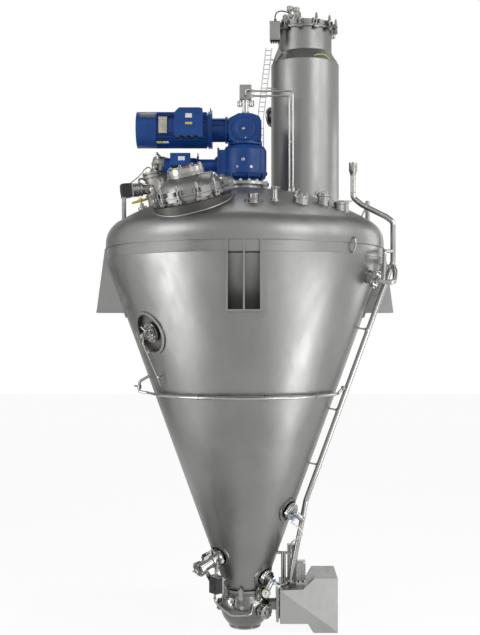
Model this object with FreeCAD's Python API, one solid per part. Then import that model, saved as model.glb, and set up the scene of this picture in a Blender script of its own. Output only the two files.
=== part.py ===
import FreeCAD, Part
import math
import os

from FreeCAD import Vector

# Conical screw vacuum dryer, millimetres, +Z up, -Y towards the front.
# The origin is on the vessel axis, at the underside of the bracket feet.

# Vessel shape, measured on the outer cladding
CLAD_RADIUS = 1300.0
HALF_ANGLE = 19.87
SHOULDER_Z = 496.0
SEAM_Z = 596.0
CONE_END_Z = -2560.0
KNUCKLE_Z = 640.0
KNUCKLE_RADIUS = 230.0
CROWN_RADIUS = 2300.0

# Wall layers, from the outside in
CLAD_WALL = 2.0
INSULATION = 40.0
JACKET_WALL = 6.0
JACKET_GAP = 14.0
VESSEL_WALL = 8.0
JACKET_TOP_DROP = 12.0
JACKET_FOOT_RISE = 70.0
TRIM_HEIGHT = 14.0

# Support frame: a ring beam with four brackets
RING_RADIUS = 1290.0
RING_PLATE = 10.0
BRACKET_REACH_FOOT = 1381.0
BRACKET_REACH_TOP = 1302.0
BRACKET_WIDTH = 293.0
GUSSET_PLATE = 16.0
FOOT_PLATE = 20.0
FOOT_RELIEF = 4.0
FOOT_SEAT_GAP = 3.0
FOOT_BOLT_SPACING = 146.0
FOOT_BOLT_RADIUS = 15.0
FOOT_BOLT_REACH = 1290.0
BRACKET_TRIM = 45.0
WALL_JOINT = 1.0

# Outlet and discharge valve
OUTLET_RADIUS = 125.0
OUTLET_WALL = 10.0
OUTLET_FLANGE_RADIUS = 200.0
OUTLET_FLANGE = 25.0
OUTLET_FLANGE_Z = -2578.0
CLAMP_COUNT = 8
CLAMP_START = 35.0
BALL_Z = -2745.0
BALL_BODY_RADIUS = 232.0
BALL_BODY_WALL = 10.0
BALL_RADIUS = 186.0
BALL_WALL = 12.0
BALL_CAP_ANGLE = 44.0
BALL_ARM_WIDTH = 70.0
BALL_STEM_RADIUS = 22.0
BALL_BOSS_RADIUS = 55.0
SPOUT_Z = -2946.0
SPOUT_WALL = 22.0

# Actuator enclosure beside the discharge valve
ACTUATOR_X = 325.0
ACTUATOR_STEP_X = 581.0
ACTUATOR_REAR_X = 640.0
ACTUATOR_END_X = 856.0
ACTUATOR_TOP_Z = -2446.0
ACTUATOR_STEP_Z = -2546.0
ACTUATOR_FLOOR_Z = -2863.0
ACTUATOR_DEPTH = 484.0
SHEET = 3.0
LINK_PLATE = 22.0
LINK_PLATE_X = 292.0
RAIL_POS = (398.0, -20.0)
RAIL_WIDTH = 84.0
RAIL_HALF_DEPTH = 30.0
RAIL_TOP_Z = -2179.0
RAIL_FINS = 6

# Drive on the vessel head
PEDESTAL_FLANGE_RADIUS = 227.0
PEDESTAL_TOP_Z = 1220.0
PEDESTAL_FLANGE = 26.0
PEDESTAL_BOLTS = 16
PEDESTAL_NECK_RADIUS = 165.0
PEDESTAL_WALL = 14.0
LOWER_BOX_RADIUS = 203.0
LOWER_BOX_TOP_Z = 1577.0
LOWER_BOX_WALL = 16.0
UPPER_BOX_RADIUS = 148.0
UPPER_BOX_DEPTH = 290.0
UPPER_BOX_COLUMN = 138.0
UPPER_BOX_WALL = 14.0
UPPER_BOX_X = -12.0
UPPER_BOX_Z = 1712.0
UPPER_BOX_FLANGE = 24.0
UPPER_BOX_MOUTH_X = -180.0
INPUT_BLOCK_X = -255.0
INPUT_BLOCK_HALF = 95.0
BIG_MOTOR_Z = 1725.0
BIG_MOTOR_RADIUS = 158.0
BIG_MOTOR_FIN = 12.0
BIG_MOTOR_FAN_END_X = -1015.0
BIG_MOTOR_FAN_X = -836.0
BIG_MOTOR_FRONT_X = -345.0
BIG_MOTOR_FLANGE = 37.0
BIG_TERMINAL_X = (-641.0, -390.0)
BIG_TERMINAL_Z = (1627.0, 1876.0)
BIG_TERMINAL_CORNER = 40.0
BIG_TERMINAL_DEPTH = 118.0
BIG_MOTOR_FLANGE_RADIUS = 173.0
LANTERN_RADIUS = 112.0
SMALL_MOTOR_Z = 1391.0
SMALL_MOTOR_RADIUS = 66.0
SMALL_MOTOR_FIN = 6.0
SMALL_MOTOR_FAN_END_X = -760.0
SMALL_MOTOR_FAN_X = -700.0
SMALL_MOTOR_FRONT_X = -453.0
SMALL_MOTOR_FLANGE = 18.0
SMALL_TERMINAL_X = (-694.0, -510.0)
SMALL_TERMINAL_DEPTH = 62.0
SMALL_MOTOR_FLANGE_RADIUS = 84.0
SMALL_LANTERN_RADIUS = 60.0
MOTOR_WALL = 12.0
FAN_SHEET = 3.0
FAN_SLOTS = 8
BIG_MOTOR_FINS = 32
SMALL_MOTOR_FINS = 20
LANTERN_RIBS = 10
AIR_GAP = 1.0
RUNNING_FIT = 0.05
BIG_SHAFT_RADIUS = 24.0
BIG_SHAFT_END_X = -150.0
BIG_ROTOR_RADIUS = 92.0
BIG_CORE_X = (-770.0, -450.0)
BIG_FAN_RADIUS = 130.0
SMALL_SHAFT_RADIUS = 12.0
SMALL_SHAFT_END_X = -220.0
SMALL_ROTOR_RADIUS = 34.0
SMALL_CORE_X = (-660.0, -500.0)
SMALL_FAN_RADIUS = 52.0
FAN_DEPTH = 40.0
FAN_BLADES = 8
UNION_X = 5.0
UNION_SEAT = 6.0
UNION_TUBE_RADIUS = 29.0
UNION_BOX_Z = 2011.0
UNION_BOX_HEIGHT = 132.0
UNION_BOX_WIDTH = 110.0
GAS_PIPE_RADIUS = 9.0
GAS_PIPE_WALL = 1.5
GAS_PIPE_BEND = 30.0
GAS_LINES = [(418.0, 2043.0), (451.0, 2089.0)]
GAS_Y = -30.0
GAS_STRAP_Z = (1600.0, 1624.0)

# Orbiting arm and screw
ARM_Z = 560.0
ORBIT_SHAFT_RADIUS = 75.0
ORBIT_SHAFT_BORE = 50.0
CENTRAL_SHAFT_RADIUS = 34.0
ARM_SHAFT_RADIUS = 30.0
ARM_TUBE_RADIUS = 96.0
ARM_TUBE_WALL = 14.0
HUB_RADIUS = 150.0
HUB_WALL = 16.0
HUB_HALF_HEIGHT = 135.0
SCREW_RADIUS = 140.0
SCREW_CLEARANCE = 15.0
SCREW_SHAFT_RADIUS = 48.0
SCREW_JOURNAL_RADIUS = 26.0
SCREW_PITCH = 250.0
FLIGHT_PLATE = 12.0
FLIGHT_WELD_GAP = 0.2
SCREW_TIP_RISE = 35.0
FLIGHT_TOP_DROP = 230.0
HEAD_CASE_RADIUS = 100.0
HEAD_CASE_WALL = 14.0
HEAD_CASE_UP = 80.0
HEAD_CASE_DOWN = 150.0
BEARING_WEB = 30.0
HUB_CONE = 45.0
GEAR_TEETH = 16
GEAR_CONE_LENGTH = 112.0
GEAR_FACE = 34.0
GEAR_BACK = 16.0
TOOTH_SHARE = 0.40

# Manway on the front left of the head
MANWAY_POS = Vector(-464.0, -825.0, 1032.0)
MANWAY_AXIS = Vector(-0.206, -0.220, 0.9535)
MANWAY_BORE = 250.0
MANWAY_WALL = 8.0
MANWAY_FLANGE_RADIUS = 305.0
MANWAY_FLANGE = 34.0
MANWAY_NECK_CLAD = 345.0
MANWAY_CLAD_DROP = 62.0
MANWAY_LID_RIM = 52.0
RIM_TRAVEL = 24.0
MANWAY_SLEEVE_END = -300.0
MANWAY_DISH_RISE = 96.0
MANWAY_DISH_BULGE = 20.0
LID_HANDLE_ANGLES = (297.0, 325.0)
LID_HANDLE_FOOT = (246.0, 83.0)
LID_HANDLE_TOP = (284.0, 150.0)
LID_HANDLE_BAR = 7.0
LID_HANDLE_BEND = 18.0
SIGHT_RADIUS = 157.0
SIGHT_BORE = 92.0
SIGHT_PAD = 34.0
SIGHT_RING = 38.0
SIGHT_GLASS = 26.0
SIGHT_BOLTS = 8
SWING_PLACES = 12
SWING_ROD_RADIUS = 9.0
SWING_NUT_RADIUS = 15.0
SWING_NUT_HEIGHT = 42.0
SWING_EYE_RADIUS = 17.0
SWING_EYE_WIDTH = 20.0
SWING_OFFSET = 20.0
SWING_SIDE_GAP = 0.5
SWING_CIRCLE = MANWAY_FLANGE_RADIUS + SWING_OFFSET
SWING_PIVOT_Z = -MANWAY_FLANGE - 4.0
SWING_PIN_RADIUS = 8.0
SEAT_GAP = 0.3
NUT_PASS_GAP = 11.0
EAR_PLATE = 10.0
HINGE_OFFSET = 52.0
HINGE_PIN_RADIUS = 14.0
HINGE_RISE = 30.0

# Dust filter tower at the rear right of the head
TOWER_X = 592.0
TOWER_Y = 500.0
TOWER_RADIUS = 265.0
TOWER_WALL = 6.0
TOWER_CLAD_RADIUS = 333.0
TOWER_SHOULDER_Z = 2459.0
TOWER_SHOULDER_TOP_Z = 2568.0
TOWER_TOP_Z = 2781.0
TOWER_FLANGE_RADIUS = 288.0
TOWER_FLANGE = 24.0
TOWER_LID = 44.0
TOWER_LID_DISH = 18.0
HOOD_WIDTH = 150.0
TUBE_SHEET_Z = 2600.0
TUBE_SHEET = 12.0
TOWER_BOLT_CIRCLE = TOWER_FLANGE_RADIUS + SWING_OFFSET
TOWER_BOLTS = 12
TOWER_BOLT_START = 18.0
TOWER_PIVOT_Z = TOWER_TOP_Z - 6.0
BAG_RADIUS = 60.0
BAG_WALL = 3.0
BAG_LENGTH = 1250.0
BAG_CIRCLE = 150.0
BAG_COUNT = 6
BRANCH_RADIUS = 55.0
BRANCH_Z = 1990.0
BRANCH_REACH = 60.0
BRANCH_FLANGE = 18.0
BRANCH_FLANGE_WIDTH = 45.0
BRANCH_BOLT_CIRCLE = BRANCH_RADIUS + 28.0
BRANCH_BOLT_RADIUS = 8.0
BRANCH_BOLTS = 4

# Blow valves as x and y on the lid, junction box as low and high x, y and z
PULSE_VALVES = [(-150.0, -92.0), (-92.0, -150.0), (-190.0, 10.0)]
JUNCTION_BOX = (238.0, 338.0, 246.0, 326.0, 2650.0, 2830.0)
JUNCTION_SHEET = 2.0
JUNCTION_GLANDS = 4
GLAND_RADIUS = 8.0
GLAND_STEP = 22.0

# Air hose from the junction box to a blow valve, earth wire over the tower shoulder
HOSE_RADIUS = 6.0
HOSE_POINTS = [
    Vector(288, 286, 2830.3), Vector(288, 286, 2884), Vector(306, 303, 2932),
    Vector(346, 330, 2956), Vector(394, 363, 2958), Vector(431.6, 398.0, 2958)]
WIRE_RADIUS = 4.0
WIRE_POINTS = [
    Vector(669.9, 186.6, 2484.5), Vector(710.3, 191.9, 2497), Vector(758.3, 200, 2498),
    Vector(799.6, 224.5, 2483), Vector(826.5, 257.2, 2453)]

# Cable tray behind the drive
TRAY_TOP = Vector(232, 330, 2590)
TRAY_BEND = Vector(150, 300, 1900)
TRAY_HALF = 28.0
TRAY_RAIL_RADIUS = 5.0
TRAY_RUNG_RADIUS = 3.5
TRAY_BRACKETS_Z = (2480, 2200)

# Pipes along the cone
HEAT_PIPE_RADIUS = 25.0
HEAT_PIPE_AZIMUTH = -14.0
HEAT_PIPE_OFFSET = 94.0
HEAT_SOCKET_RADIUS = 39.0
HEAT_SOCKET_LENGTH = 78.0
HEAT_SOCKET_LAP = 30.0
HEAT_SOCKET_WALL = 5.0
HEAT_STRUTS_Z = (420, -156, -900, -1410)
HEAT_PIPE_WALL = 3.0
RING_PIPE_RADIUS = 13.0
RING_PIPE_Z = -740.0
RING_PIPE_OFFSET = 42.0
RING_STRUTS_AZIMUTH = (-150, -117, -78, -45)
STRUT_RADIUS = 8.0

# Nozzles of the head as x, y, outer radius and height above the cladding
HEAD_NOZZLES = {
    "vent": (80.0, -1000.0, 46.0, 34.0),
    "spool": (259.0, -930.0, 26.0, 118.0),
    "relief": (487.0, -850.0, 62.0, 104.0),
    "spray": (690.0, -692.0, 52.0, 108.0),
    "sample": (839.0, -640.0, 48.0, 86.0),
}
INLET_POS = (-822.0, 200.0)
INLET_RADIUS = 100.0
INLET_LEAN = Vector(-0.16, 0.02, 0.98)
INLET_TOP_RISE = 330.0
NOZZLE_WALL = 6.0
HEAD_POST_RADIUS = 21.0
HEAD_POST_WALL = 5.0
HEAD_POSTS = ((-1142.0, 1092.0), (1157.0, 1058.0))

# Hand valve on the head
WHEEL_POS = (-936.0, -250.0)
WHEEL_RADIUS = 82.0
WHEEL_RISE = 78.0
WHEEL_BAR = 7.0
WHEEL_SPOKES = 3
WHEEL_STEM_RADIUS = 9.0

# Nozzles through the cone as azimuth, height, pipe radius and pocket radius
SIDE_NOZZLE = (-142.0, -182.0, 60.0, 176.0)
UPPER_PROBE = (-32.0, -1810.0, 58.0, 96.0)
LOWER_PROBE = (-42.0, -2440.0, 50.0, 84.0)
SAMPLE_NOZZLE = (-138.0, -2238.0, 44.0, 92.0)
STEAM_NOZZLE = (-27.0, 318.0, 58.0, 64.0)
CONE_NOZZLES = [SIDE_NOZZLE, UPPER_PROBE, LOWER_PROBE, SAMPLE_NOZZLE]
PROBE_ARMS = {UPPER_PROBE[1]: (0.70, -0.12, -0.70), LOWER_PROBE[1]: (-0.50, -0.35, -0.79)}
SAMPLE_BODY_RADIUS = 52.0
SAMPLE_BORE = 34.0
SAMPLE_REACH = 250.0
SAMPLE_STEM_OFF = 60.0
SAMPLE_STEM_RADIUS = 9.0
SAMPLE_BOX_DROP = 225.0

TAN_HALF = math.tan(math.radians(HALF_ANGLE))
COS_HALF = math.cos(math.radians(HALF_ANGLE))
SIN_HALF = math.sin(math.radians(HALF_ANGLE))
JACKET_DEPTH = CLAD_WALL + INSULATION
GAP_DEPTH = JACKET_DEPTH + JACKET_WALL
WALL_DEPTH = GAP_DEPTH + JACKET_GAP
INNER_DEPTH = WALL_DEPTH + VESSEL_WALL
CROWN_Z = KNUCKLE_Z - math.sqrt(
    (CROWN_RADIUS - KNUCKLE_RADIUS) ** 2 - (CLAD_RADIUS - KNUCKLE_RADIUS) ** 2)
UP = Vector(0, 0, 1)
RIGHT = Vector(1, 0, 0)
FRONT = Vector(0, -1, 0)
ORIGIN = Vector(0, 0, 0)
BALL_CENTRE = Vector(0, 0, BALL_Z)


# Small helpers

def cone_radius(z, depth=0.0):
    """Radius of the cone at a height, at a depth below the cladding."""
    return CLAD_RADIUS + (z - SHOULDER_Z) * TAN_HALF - depth / COS_HALF


def shoulder_z(depth):
    """Height where the cone meets the cylinder, at a depth below the cladding."""
    return SHOULDER_Z + depth * math.tan(math.radians(HALF_ANGLE) / 2)


def cone_height(radius, depth=0.0):
    """Height where the cone has a radius, at a depth below the cladding."""
    return SHOULDER_Z + (radius - CLAD_RADIUS + depth / COS_HALF) / TAN_HALF


def dome_height(radius, depth=0.0):
    """Height of the crown of the head at a radius from the vessel axis."""
    return CROWN_Z + math.sqrt((CROWN_RADIUS - depth) ** 2 - radius ** 2)


def polar(radius, azimuth, z=0.0):
    angle = math.radians(azimuth)
    return Vector(radius * math.cos(angle), radius * math.sin(angle), z)


def cone_point(azimuth, z, off=0.0):
    """Point on the cone, moved out of the cladding along its normal."""
    radius = cone_radius(z) + off * COS_HALF
    return polar(radius, azimuth, z - off * SIN_HALF)


def dome_normal(x, y):
    return Vector(x, y, dome_height(math.hypot(x, y)) - CROWN_Z).normalize()


def dome_point(x, y, depth=0.0):
    return Vector(x, y, dome_height(math.hypot(x, y), depth))


def one(shape):
    """Tidy a boolean result and return its single solid where it has one."""
    shape = shape.removeSplitter()
    return shape.Solids[0] if len(shape.Solids) == 1 else shape


def join(first, *rest):
    return one(first.fuse(list(rest)))


def trim(shape, *tools):
    return one(shape.cut(list(tools)))


def group(solids):
    return Part.makeCompound(solids)


def rod(radius, start, end):
    line = end - start
    return Part.makeCylinder(radius, line.Length, start, line)


def tube(outer, inner, start, end):
    return trim(rod(outer, start, end), long_rod(inner, start, end))


def long_rod(radius, start, end, extra=1.0):
    step = (end - start).normalize() * extra
    return rod(radius, start - step, end + step)


def block(x0, x1, y0, y1, z0, z1):
    return Part.makeBox(x1 - x0, y1 - y0, z1 - z0, Vector(x0, y0, z0))


def prism(points, direction):
    """Extrude a flat outline."""
    return Part.Face(Part.makePolygon(points + points[:1])).extrude(direction)


def spin(points, centre=ORIGIN):
    """Revolve an outline of radius and height pairs about a vertical axis."""
    outline = [Vector(centre.x + r, centre.y, centre.z + z) for r, z in points]
    face = Part.Face(Part.makePolygon(outline + outline[:1]))
    return face.revolve(centre, UP, 360)


def placed(shape, pos, axis, side=RIGHT):
    """Turn a piece built along +Z so that it stands on pos along axis."""
    z_axis = Vector(axis).normalize()
    x_axis = (side - z_axis * side.dot(z_axis)).normalize()
    y_axis = z_axis.cross(x_axis)
    matrix = FreeCAD.Matrix(x_axis.x, y_axis.x, z_axis.x, pos.x,
                            x_axis.y, y_axis.y, z_axis.y, pos.y,
                            x_axis.z, y_axis.z, z_axis.z, pos.z,
                            0, 0, 0, 1)
    result = shape.copy()
    result.Placement = FreeCAD.Placement(matrix).multiply(shape.Placement)
    return result


def turned(shape, angle, centre=ORIGIN, axis=UP):
    result = shape.copy()
    result.rotate(centre, axis, angle)
    return result


def bent_path(points, radius):
    """Straight runs with a tangent arc at each inner point."""
    edges = []
    start = points[0]
    for before, corner, after in zip(points, points[1:], points[2:]):
        back = (before - corner).normalize()
        ahead = (after - corner).normalize()
        half = (math.pi - back.getAngle(ahead)) / 2
        reach = radius * math.tan(half)
        begin = corner + back * reach
        finish = corner + ahead * reach
        middle = (back + ahead).normalize()
        centre = corner + middle * (radius / math.cos(half))
        edges.append(Part.LineSegment(start, begin).toShape())
        edges.append(Part.Arc(begin, centre - middle * radius, finish).toShape())
        start = finish
    edges.append(Part.LineSegment(start, points[-1]).toShape())
    return Part.Wire(edges)


def swept(path, start, direction, radius):
    circle = Part.Wire(Part.Circle(start, direction, radius).toShape())
    return Part.Wire(path).makePipeShell([circle], True, False)


def pipe(points, radius, bend, wall=0.0):
    """A round bar or pipe along a bent path."""
    path = bent_path(points, bend)
    direction = points[1] - points[0]
    solid = swept(path, points[0], direction, radius)
    if wall:
        solid = solid.cut(swept(path, points[0], direction, radius - wall))
    return solid.Solids[0]


def save(name, *solids):
    shape = solids[0] if len(solids) == 1 else group(list(solids))
    for solid in shape.Solids:
        if not solid.isValid() or solid.Volume < 1.0:
            print("check", name, solid.Volume, solid.isValid())
    shape.exportStep("parts/" + name + ".step")


# Vessel walls

def cone_layer(outer, inner, top, foot):
    """A conical layer between two depths below the cladding surface."""
    return spin([(cone_radius(top, inner), top), (cone_radius(top, outer), top),
                 (cone_radius(foot, outer), foot), (cone_radius(foot, inner), foot)])


def dome_edges(depth, foot):
    """Outline of the head at a depth below its cladding, from the axis down."""
    centre_r = CLAD_RADIUS - KNUCKLE_RADIUS
    lean = math.atan2(centre_r, KNUCKLE_Z - CROWN_Z)
    crown = CROWN_RADIUS - depth
    knuckle = KNUCKLE_RADIUS - depth

    def crown_at(angle):
        return Vector(crown * math.sin(angle), 0, CROWN_Z + crown * math.cos(angle))

    def knuckle_at(angle):
        return Vector(centre_r + knuckle * math.sin(angle), 0,
                      KNUCKLE_Z + knuckle * math.cos(angle))

    side = knuckle_at(math.pi / 2)
    edges = [Part.Arc(crown_at(0), crown_at(lean / 2), crown_at(lean)).toShape()]
    middle = knuckle_at((lean + math.pi / 2) / 2)
    edges.append(Part.Arc(knuckle_at(lean), middle, side).toShape())
    edges.append(Part.LineSegment(side, Vector(side.x, 0, foot)).toShape())
    return edges


def dome_solid(depth, foot):
    edges = dome_edges(depth, foot)
    top = edges[0].Vertexes[0].Point
    corner = edges[-1].Vertexes[-1].Point
    centre = Vector(0, 0, foot)
    edges.append(Part.LineSegment(corner, centre).toShape())
    edges.append(Part.LineSegment(centre, top).toShape())
    return Part.Face(Part.Wire(edges)).revolve(ORIGIN, UP, 360)


def dome_layer(outer, inner, foot):
    return dome_solid(outer, foot).cut(dome_solid(inner, foot))


def tower_axis(z):
    return Vector(TOWER_X, TOWER_Y, z)


def manway_at(height):
    return MANWAY_POS + Vector(MANWAY_AXIS).normalize() * height


def inlet_at(rise):
    base = dome_point(*INLET_POS)
    return base + Vector(INLET_LEAN).normalize() * rise


def head_holes(grow):
    """Cutters through the head for all its nozzles, grown by a margin."""
    low = 700.0
    holes = [rod(PEDESTAL_NECK_RADIUS + grow, Vector(0, 0, low), Vector(0, 0, PEDESTAL_TOP_Z)),
             rod(TOWER_RADIUS + grow, tower_axis(low), tower_axis(TOWER_TOP_Z)),
             rod(MANWAY_BORE + MANWAY_WALL + grow, manway_at(-400), manway_at(200)),
             rod(INLET_RADIUS + grow, inlet_at(-200), inlet_at(200))]
    for x, y, radius, _ in HEAD_NOZZLES.values():
        start = dome_point(x, y)
        step = dome_normal(x, y) * 150
        holes.append(rod(radius + grow, start - step, start + step))
    return holes


def cone_cutter(nozzle, radius, deep, high=80.0):
    azimuth, z = nozzle[0], nozzle[1]
    return rod(radius, cone_point(azimuth, z, -deep), cone_point(azimuth, z, high))


def vessel_cone():
    lip = OUTLET_RADIUS
    end_in = cone_height(lip, INNER_DEPTH)
    end_out = cone_height(lip + OUTLET_WALL, WALL_DEPTH)
    flange_top = OUTLET_FLANGE_Z
    foot = flange_top - OUTLET_FLANGE
    shell = spin([
        (CLAD_RADIUS - INNER_DEPTH, SEAM_Z), (CLAD_RADIUS - WALL_DEPTH, SEAM_Z),
        (CLAD_RADIUS - WALL_DEPTH, shoulder_z(WALL_DEPTH)), (lip + OUTLET_WALL, end_out),
        (lip + OUTLET_WALL, flange_top), (OUTLET_FLANGE_RADIUS, flange_top),
        (OUTLET_FLANGE_RADIUS, foot), (lip, foot), (lip, end_in),
        (CLAD_RADIUS - INNER_DEPTH, shoulder_z(INNER_DEPTH))])
    holes = [cone_cutter(n, n[2], INNER_DEPTH + 40) for n in CONE_NOZZLES]
    return trim(shell, *holes)


def vessel_head():
    return trim(dome_layer(WALL_DEPTH, INNER_DEPTH, SEAM_Z), *head_holes(0))


def jacket_span():
    return SHOULDER_Z - JACKET_TOP_DROP, CONE_END_Z + JACKET_FOOT_RISE


def heating_jacket():
    top, foot = jacket_span()
    web = VESSEL_WALL
    shell = spin([
        (cone_radius(top, WALL_DEPTH), top), (cone_radius(top, JACKET_DEPTH), top),
        (cone_radius(foot, JACKET_DEPTH), foot), (cone_radius(foot, WALL_DEPTH), foot),
        (cone_radius(foot + web, WALL_DEPTH), foot + web),
        (cone_radius(foot + web, GAP_DEPTH), foot + web),
        (cone_radius(top - web, GAP_DEPTH), top - web),
        (cone_radius(top - web, WALL_DEPTH), top - web)])
    holes = [cone_cutter(n, n[2], WALL_DEPTH) for n in CONE_NOZZLES]
    holes.append(cone_cutter(STEAM_NOZZLE, STEAM_NOZZLE[2] - NOZZLE_WALL, GAP_DEPTH + 4))
    return trim(shell, *holes)


def bracket_pocket(depth, margin):
    """Box that leaves room for one bracket in a wall layer."""
    half = BRACKET_WIDTH / 2 + margin
    box = block(cone_radius(0, depth) - 60, CLAD_RADIUS + 40, -half, half, -margin, SEAM_Z + 1)
    return box


def four_ways(shape):
    """Front, left, back and right copies of a piece built along +X."""
    return [turned(shape, angle) for angle in (-90, 180, 90, 0)]


def insulation():
    top, foot = jacket_span()
    cone = cone_layer(CLAD_WALL, JACKET_DEPTH, top, foot)
    holes = [cone_cutter(n, n[3], JACKET_DEPTH + 40) for n in CONE_NOZZLES]
    holes.append(cone_cutter(STEAM_NOZZLE, STEAM_NOZZLE[3], JACKET_DEPTH + 40))
    holes += four_ways(bracket_pocket(JACKET_DEPTH, WALL_JOINT))
    head = trim(dome_layer(CLAD_WALL, WALL_DEPTH, SEAM_Z + CLAD_WALL), *head_holes(WALL_JOINT))
    neck = rod(MANWAY_NECK_CLAD, manway_at(-MANWAY_CLAD_DROP - 2), manway_at(200))
    return [trim(cone, *holes), trim(head, neck)]


def pocket_trims():
    """Raised rings and frames round the openings of the cone cladding."""
    skin = cone_layer(-TRIM_HEIGHT, 0, SHOULDER_Z, CONE_END_Z)
    half = BRACKET_WIDTH / 2
    frame = trim(block(800, 1400, -half - BRACKET_TRIM, half + BRACKET_TRIM, -BRACKET_TRIM, SHOULDER_Z),
                 block(700, 1500, -half - WALL_JOINT, half + WALL_JOINT, -WALL_JOINT, SEAM_Z))
    trims = [one(skin.common(piece)) for piece in four_ways(frame)]
    for azimuth, z, _, pocket in CONE_NOZZLES:
        ring = tube(pocket + 24, pocket, cone_point(azimuth, z, -30), cone_point(azimuth, z, 60))
        trims.append(one(skin.common(ring)))
    return trims


def cone_cladding():
    foot = CONE_END_Z
    lip = OUTLET_RADIUS + OUTLET_WALL + WALL_JOINT
    shell = spin([
        (cone_radius(SHOULDER_Z, CLAD_WALL), SHOULDER_Z), (cone_radius(SHOULDER_Z), SHOULDER_Z),
        (cone_radius(foot), foot), (lip, foot), (lip, foot + CLAD_WALL),
        (cone_radius(foot + CLAD_WALL, CLAD_WALL), foot + CLAD_WALL)])
    holes = [cone_cutter(n, n[3], JACKET_DEPTH) for n in CONE_NOZZLES]
    holes.append(cone_cutter(STEAM_NOZZLE, STEAM_NOZZLE[3], JACKET_DEPTH))
    holes += four_ways(bracket_pocket(CLAD_WALL, WALL_JOINT))
    return [trim(shell, *holes)] + pocket_trims()


def head_cladding():
    shell = dome_layer(0, CLAD_WALL, SEAM_Z)
    hem = tube(CLAD_RADIUS - CLAD_WALL, RING_RADIUS - RING_PLATE,
               Vector(0, 0, SEAM_Z), Vector(0, 0, SEAM_Z + CLAD_WALL))
    neck = rod(MANWAY_NECK_CLAD, manway_at(-400), manway_at(200))
    tower = rod(TOWER_CLAD_RADIUS, tower_axis(700), tower_axis(TOWER_TOP_Z))
    return trim(join(shell, hem), neck, tower, *head_holes(WALL_JOINT))


# Support frame

def ring_beam():
    plate = RING_PLATE
    foot, top = SHOULDER_Z, SEAM_Z
    inner = CLAD_RADIUS - WALL_DEPTH
    return spin([
        (inner, foot), (RING_RADIUS, foot), (RING_RADIUS, top), (inner, top),
        (inner, top - plate), (RING_RADIUS - plate, top - plate),
        (RING_RADIUS - plate, foot + plate), (inner, foot + plate)])


def bracket_pieces():
    """Three upright gussets and a foot plate relieved under the cladding, built along +X."""
    wall = cone_radius(0, JACKET_DEPTH) - 80
    body = join(spin([(0, -100), (cone_radius(-100, JACKET_DEPTH), -100),
                      (cone_radius(SHOULDER_Z, JACKET_DEPTH), SHOULDER_Z), (0, SHOULDER_Z)]),
                rod(RING_RADIUS, Vector(0, 0, SHOULDER_Z), Vector(0, 0, SEAM_Z + 1)))
    edge = BRACKET_REACH_FOOT + (BRACKET_REACH_TOP - BRACKET_REACH_FOOT) * FOOT_PLATE / SEAM_Z
    outline = [Vector(wall, 0, FOOT_PLATE), Vector(edge, 0, FOOT_PLATE),
               Vector(BRACKET_REACH_TOP, 0, SEAM_Z), Vector(wall, 0, SEAM_Z)]
    gusset = prism(outline, Vector(0, GUSSET_PLATE, 0))
    span = BRACKET_WIDTH - GUSSET_PLATE
    pieces = []
    for share in (-0.5, 0.0, 0.5):
        plate = gusset.copy()
        plate.translate(Vector(0, span * share - GUSSET_PLATE / 2, 0))
        pieces.append(trim(plate, body))
    half = BRACKET_WIDTH / 2
    foot = block(wall, BRACKET_REACH_FOOT, -half, half, 0, FOOT_PLATE)
    seat = cone_radius(0) + TRIM_HEIGHT / COS_HALF + FOOT_SEAT_GAP
    relief = block(wall - 1, seat, -half - 1, half + 1, -1, FOOT_RELIEF)
    bolts = [rod(FOOT_BOLT_RADIUS, Vector(FOOT_BOLT_REACH, side * FOOT_BOLT_SPACING / 2, -1),
                 Vector(FOOT_BOLT_REACH, side * FOOT_BOLT_SPACING / 2, FOOT_PLATE + 1))
             for side in (-1, 1)]
    pieces.append(trim(foot, body, relief, *bolts))
    return pieces


def support_frame():
    pieces = [ring_beam()]
    for piece in bracket_pieces():
        pieces += four_ways(piece)
    return pieces


# Screw and orbiting arm

SCREW_DEPTH = INNER_DEPTH + SCREW_CLEARANCE + SCREW_RADIUS
SCREW_DOWN = Vector(-SIN_HALF, 0, -COS_HALF)
SCREW_APEX = Vector(cone_radius(ARM_Z, SCREW_DEPTH), 0, ARM_Z)
SCREW_TIP_S = (ARM_Z - cone_height(0, SCREW_DEPTH) - SCREW_TIP_RISE) / COS_HALF
FLIGHT_TOP_S = FLIGHT_TOP_DROP / COS_HALF
HUB_APEX = Vector(0, 0, ARM_Z)
HEAD_CONE = (90.0 - HALF_ANGLE) / 2
ORBIT_TOP_Z = LOWER_BOX_TOP_Z - LOWER_BOX_WALL - 24.0
CENTRAL_TOP_Z = BIG_MOTOR_Z + 60.0


def screw_at(distance):
    return SCREW_APEX + SCREW_DOWN * distance


def gear_point(cone, azimuth, distance):
    a, b = math.radians(cone), math.radians(azimuth)
    return Vector(math.sin(a) * math.cos(b), math.sin(a) * math.sin(b), math.cos(a)) * distance


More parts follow.
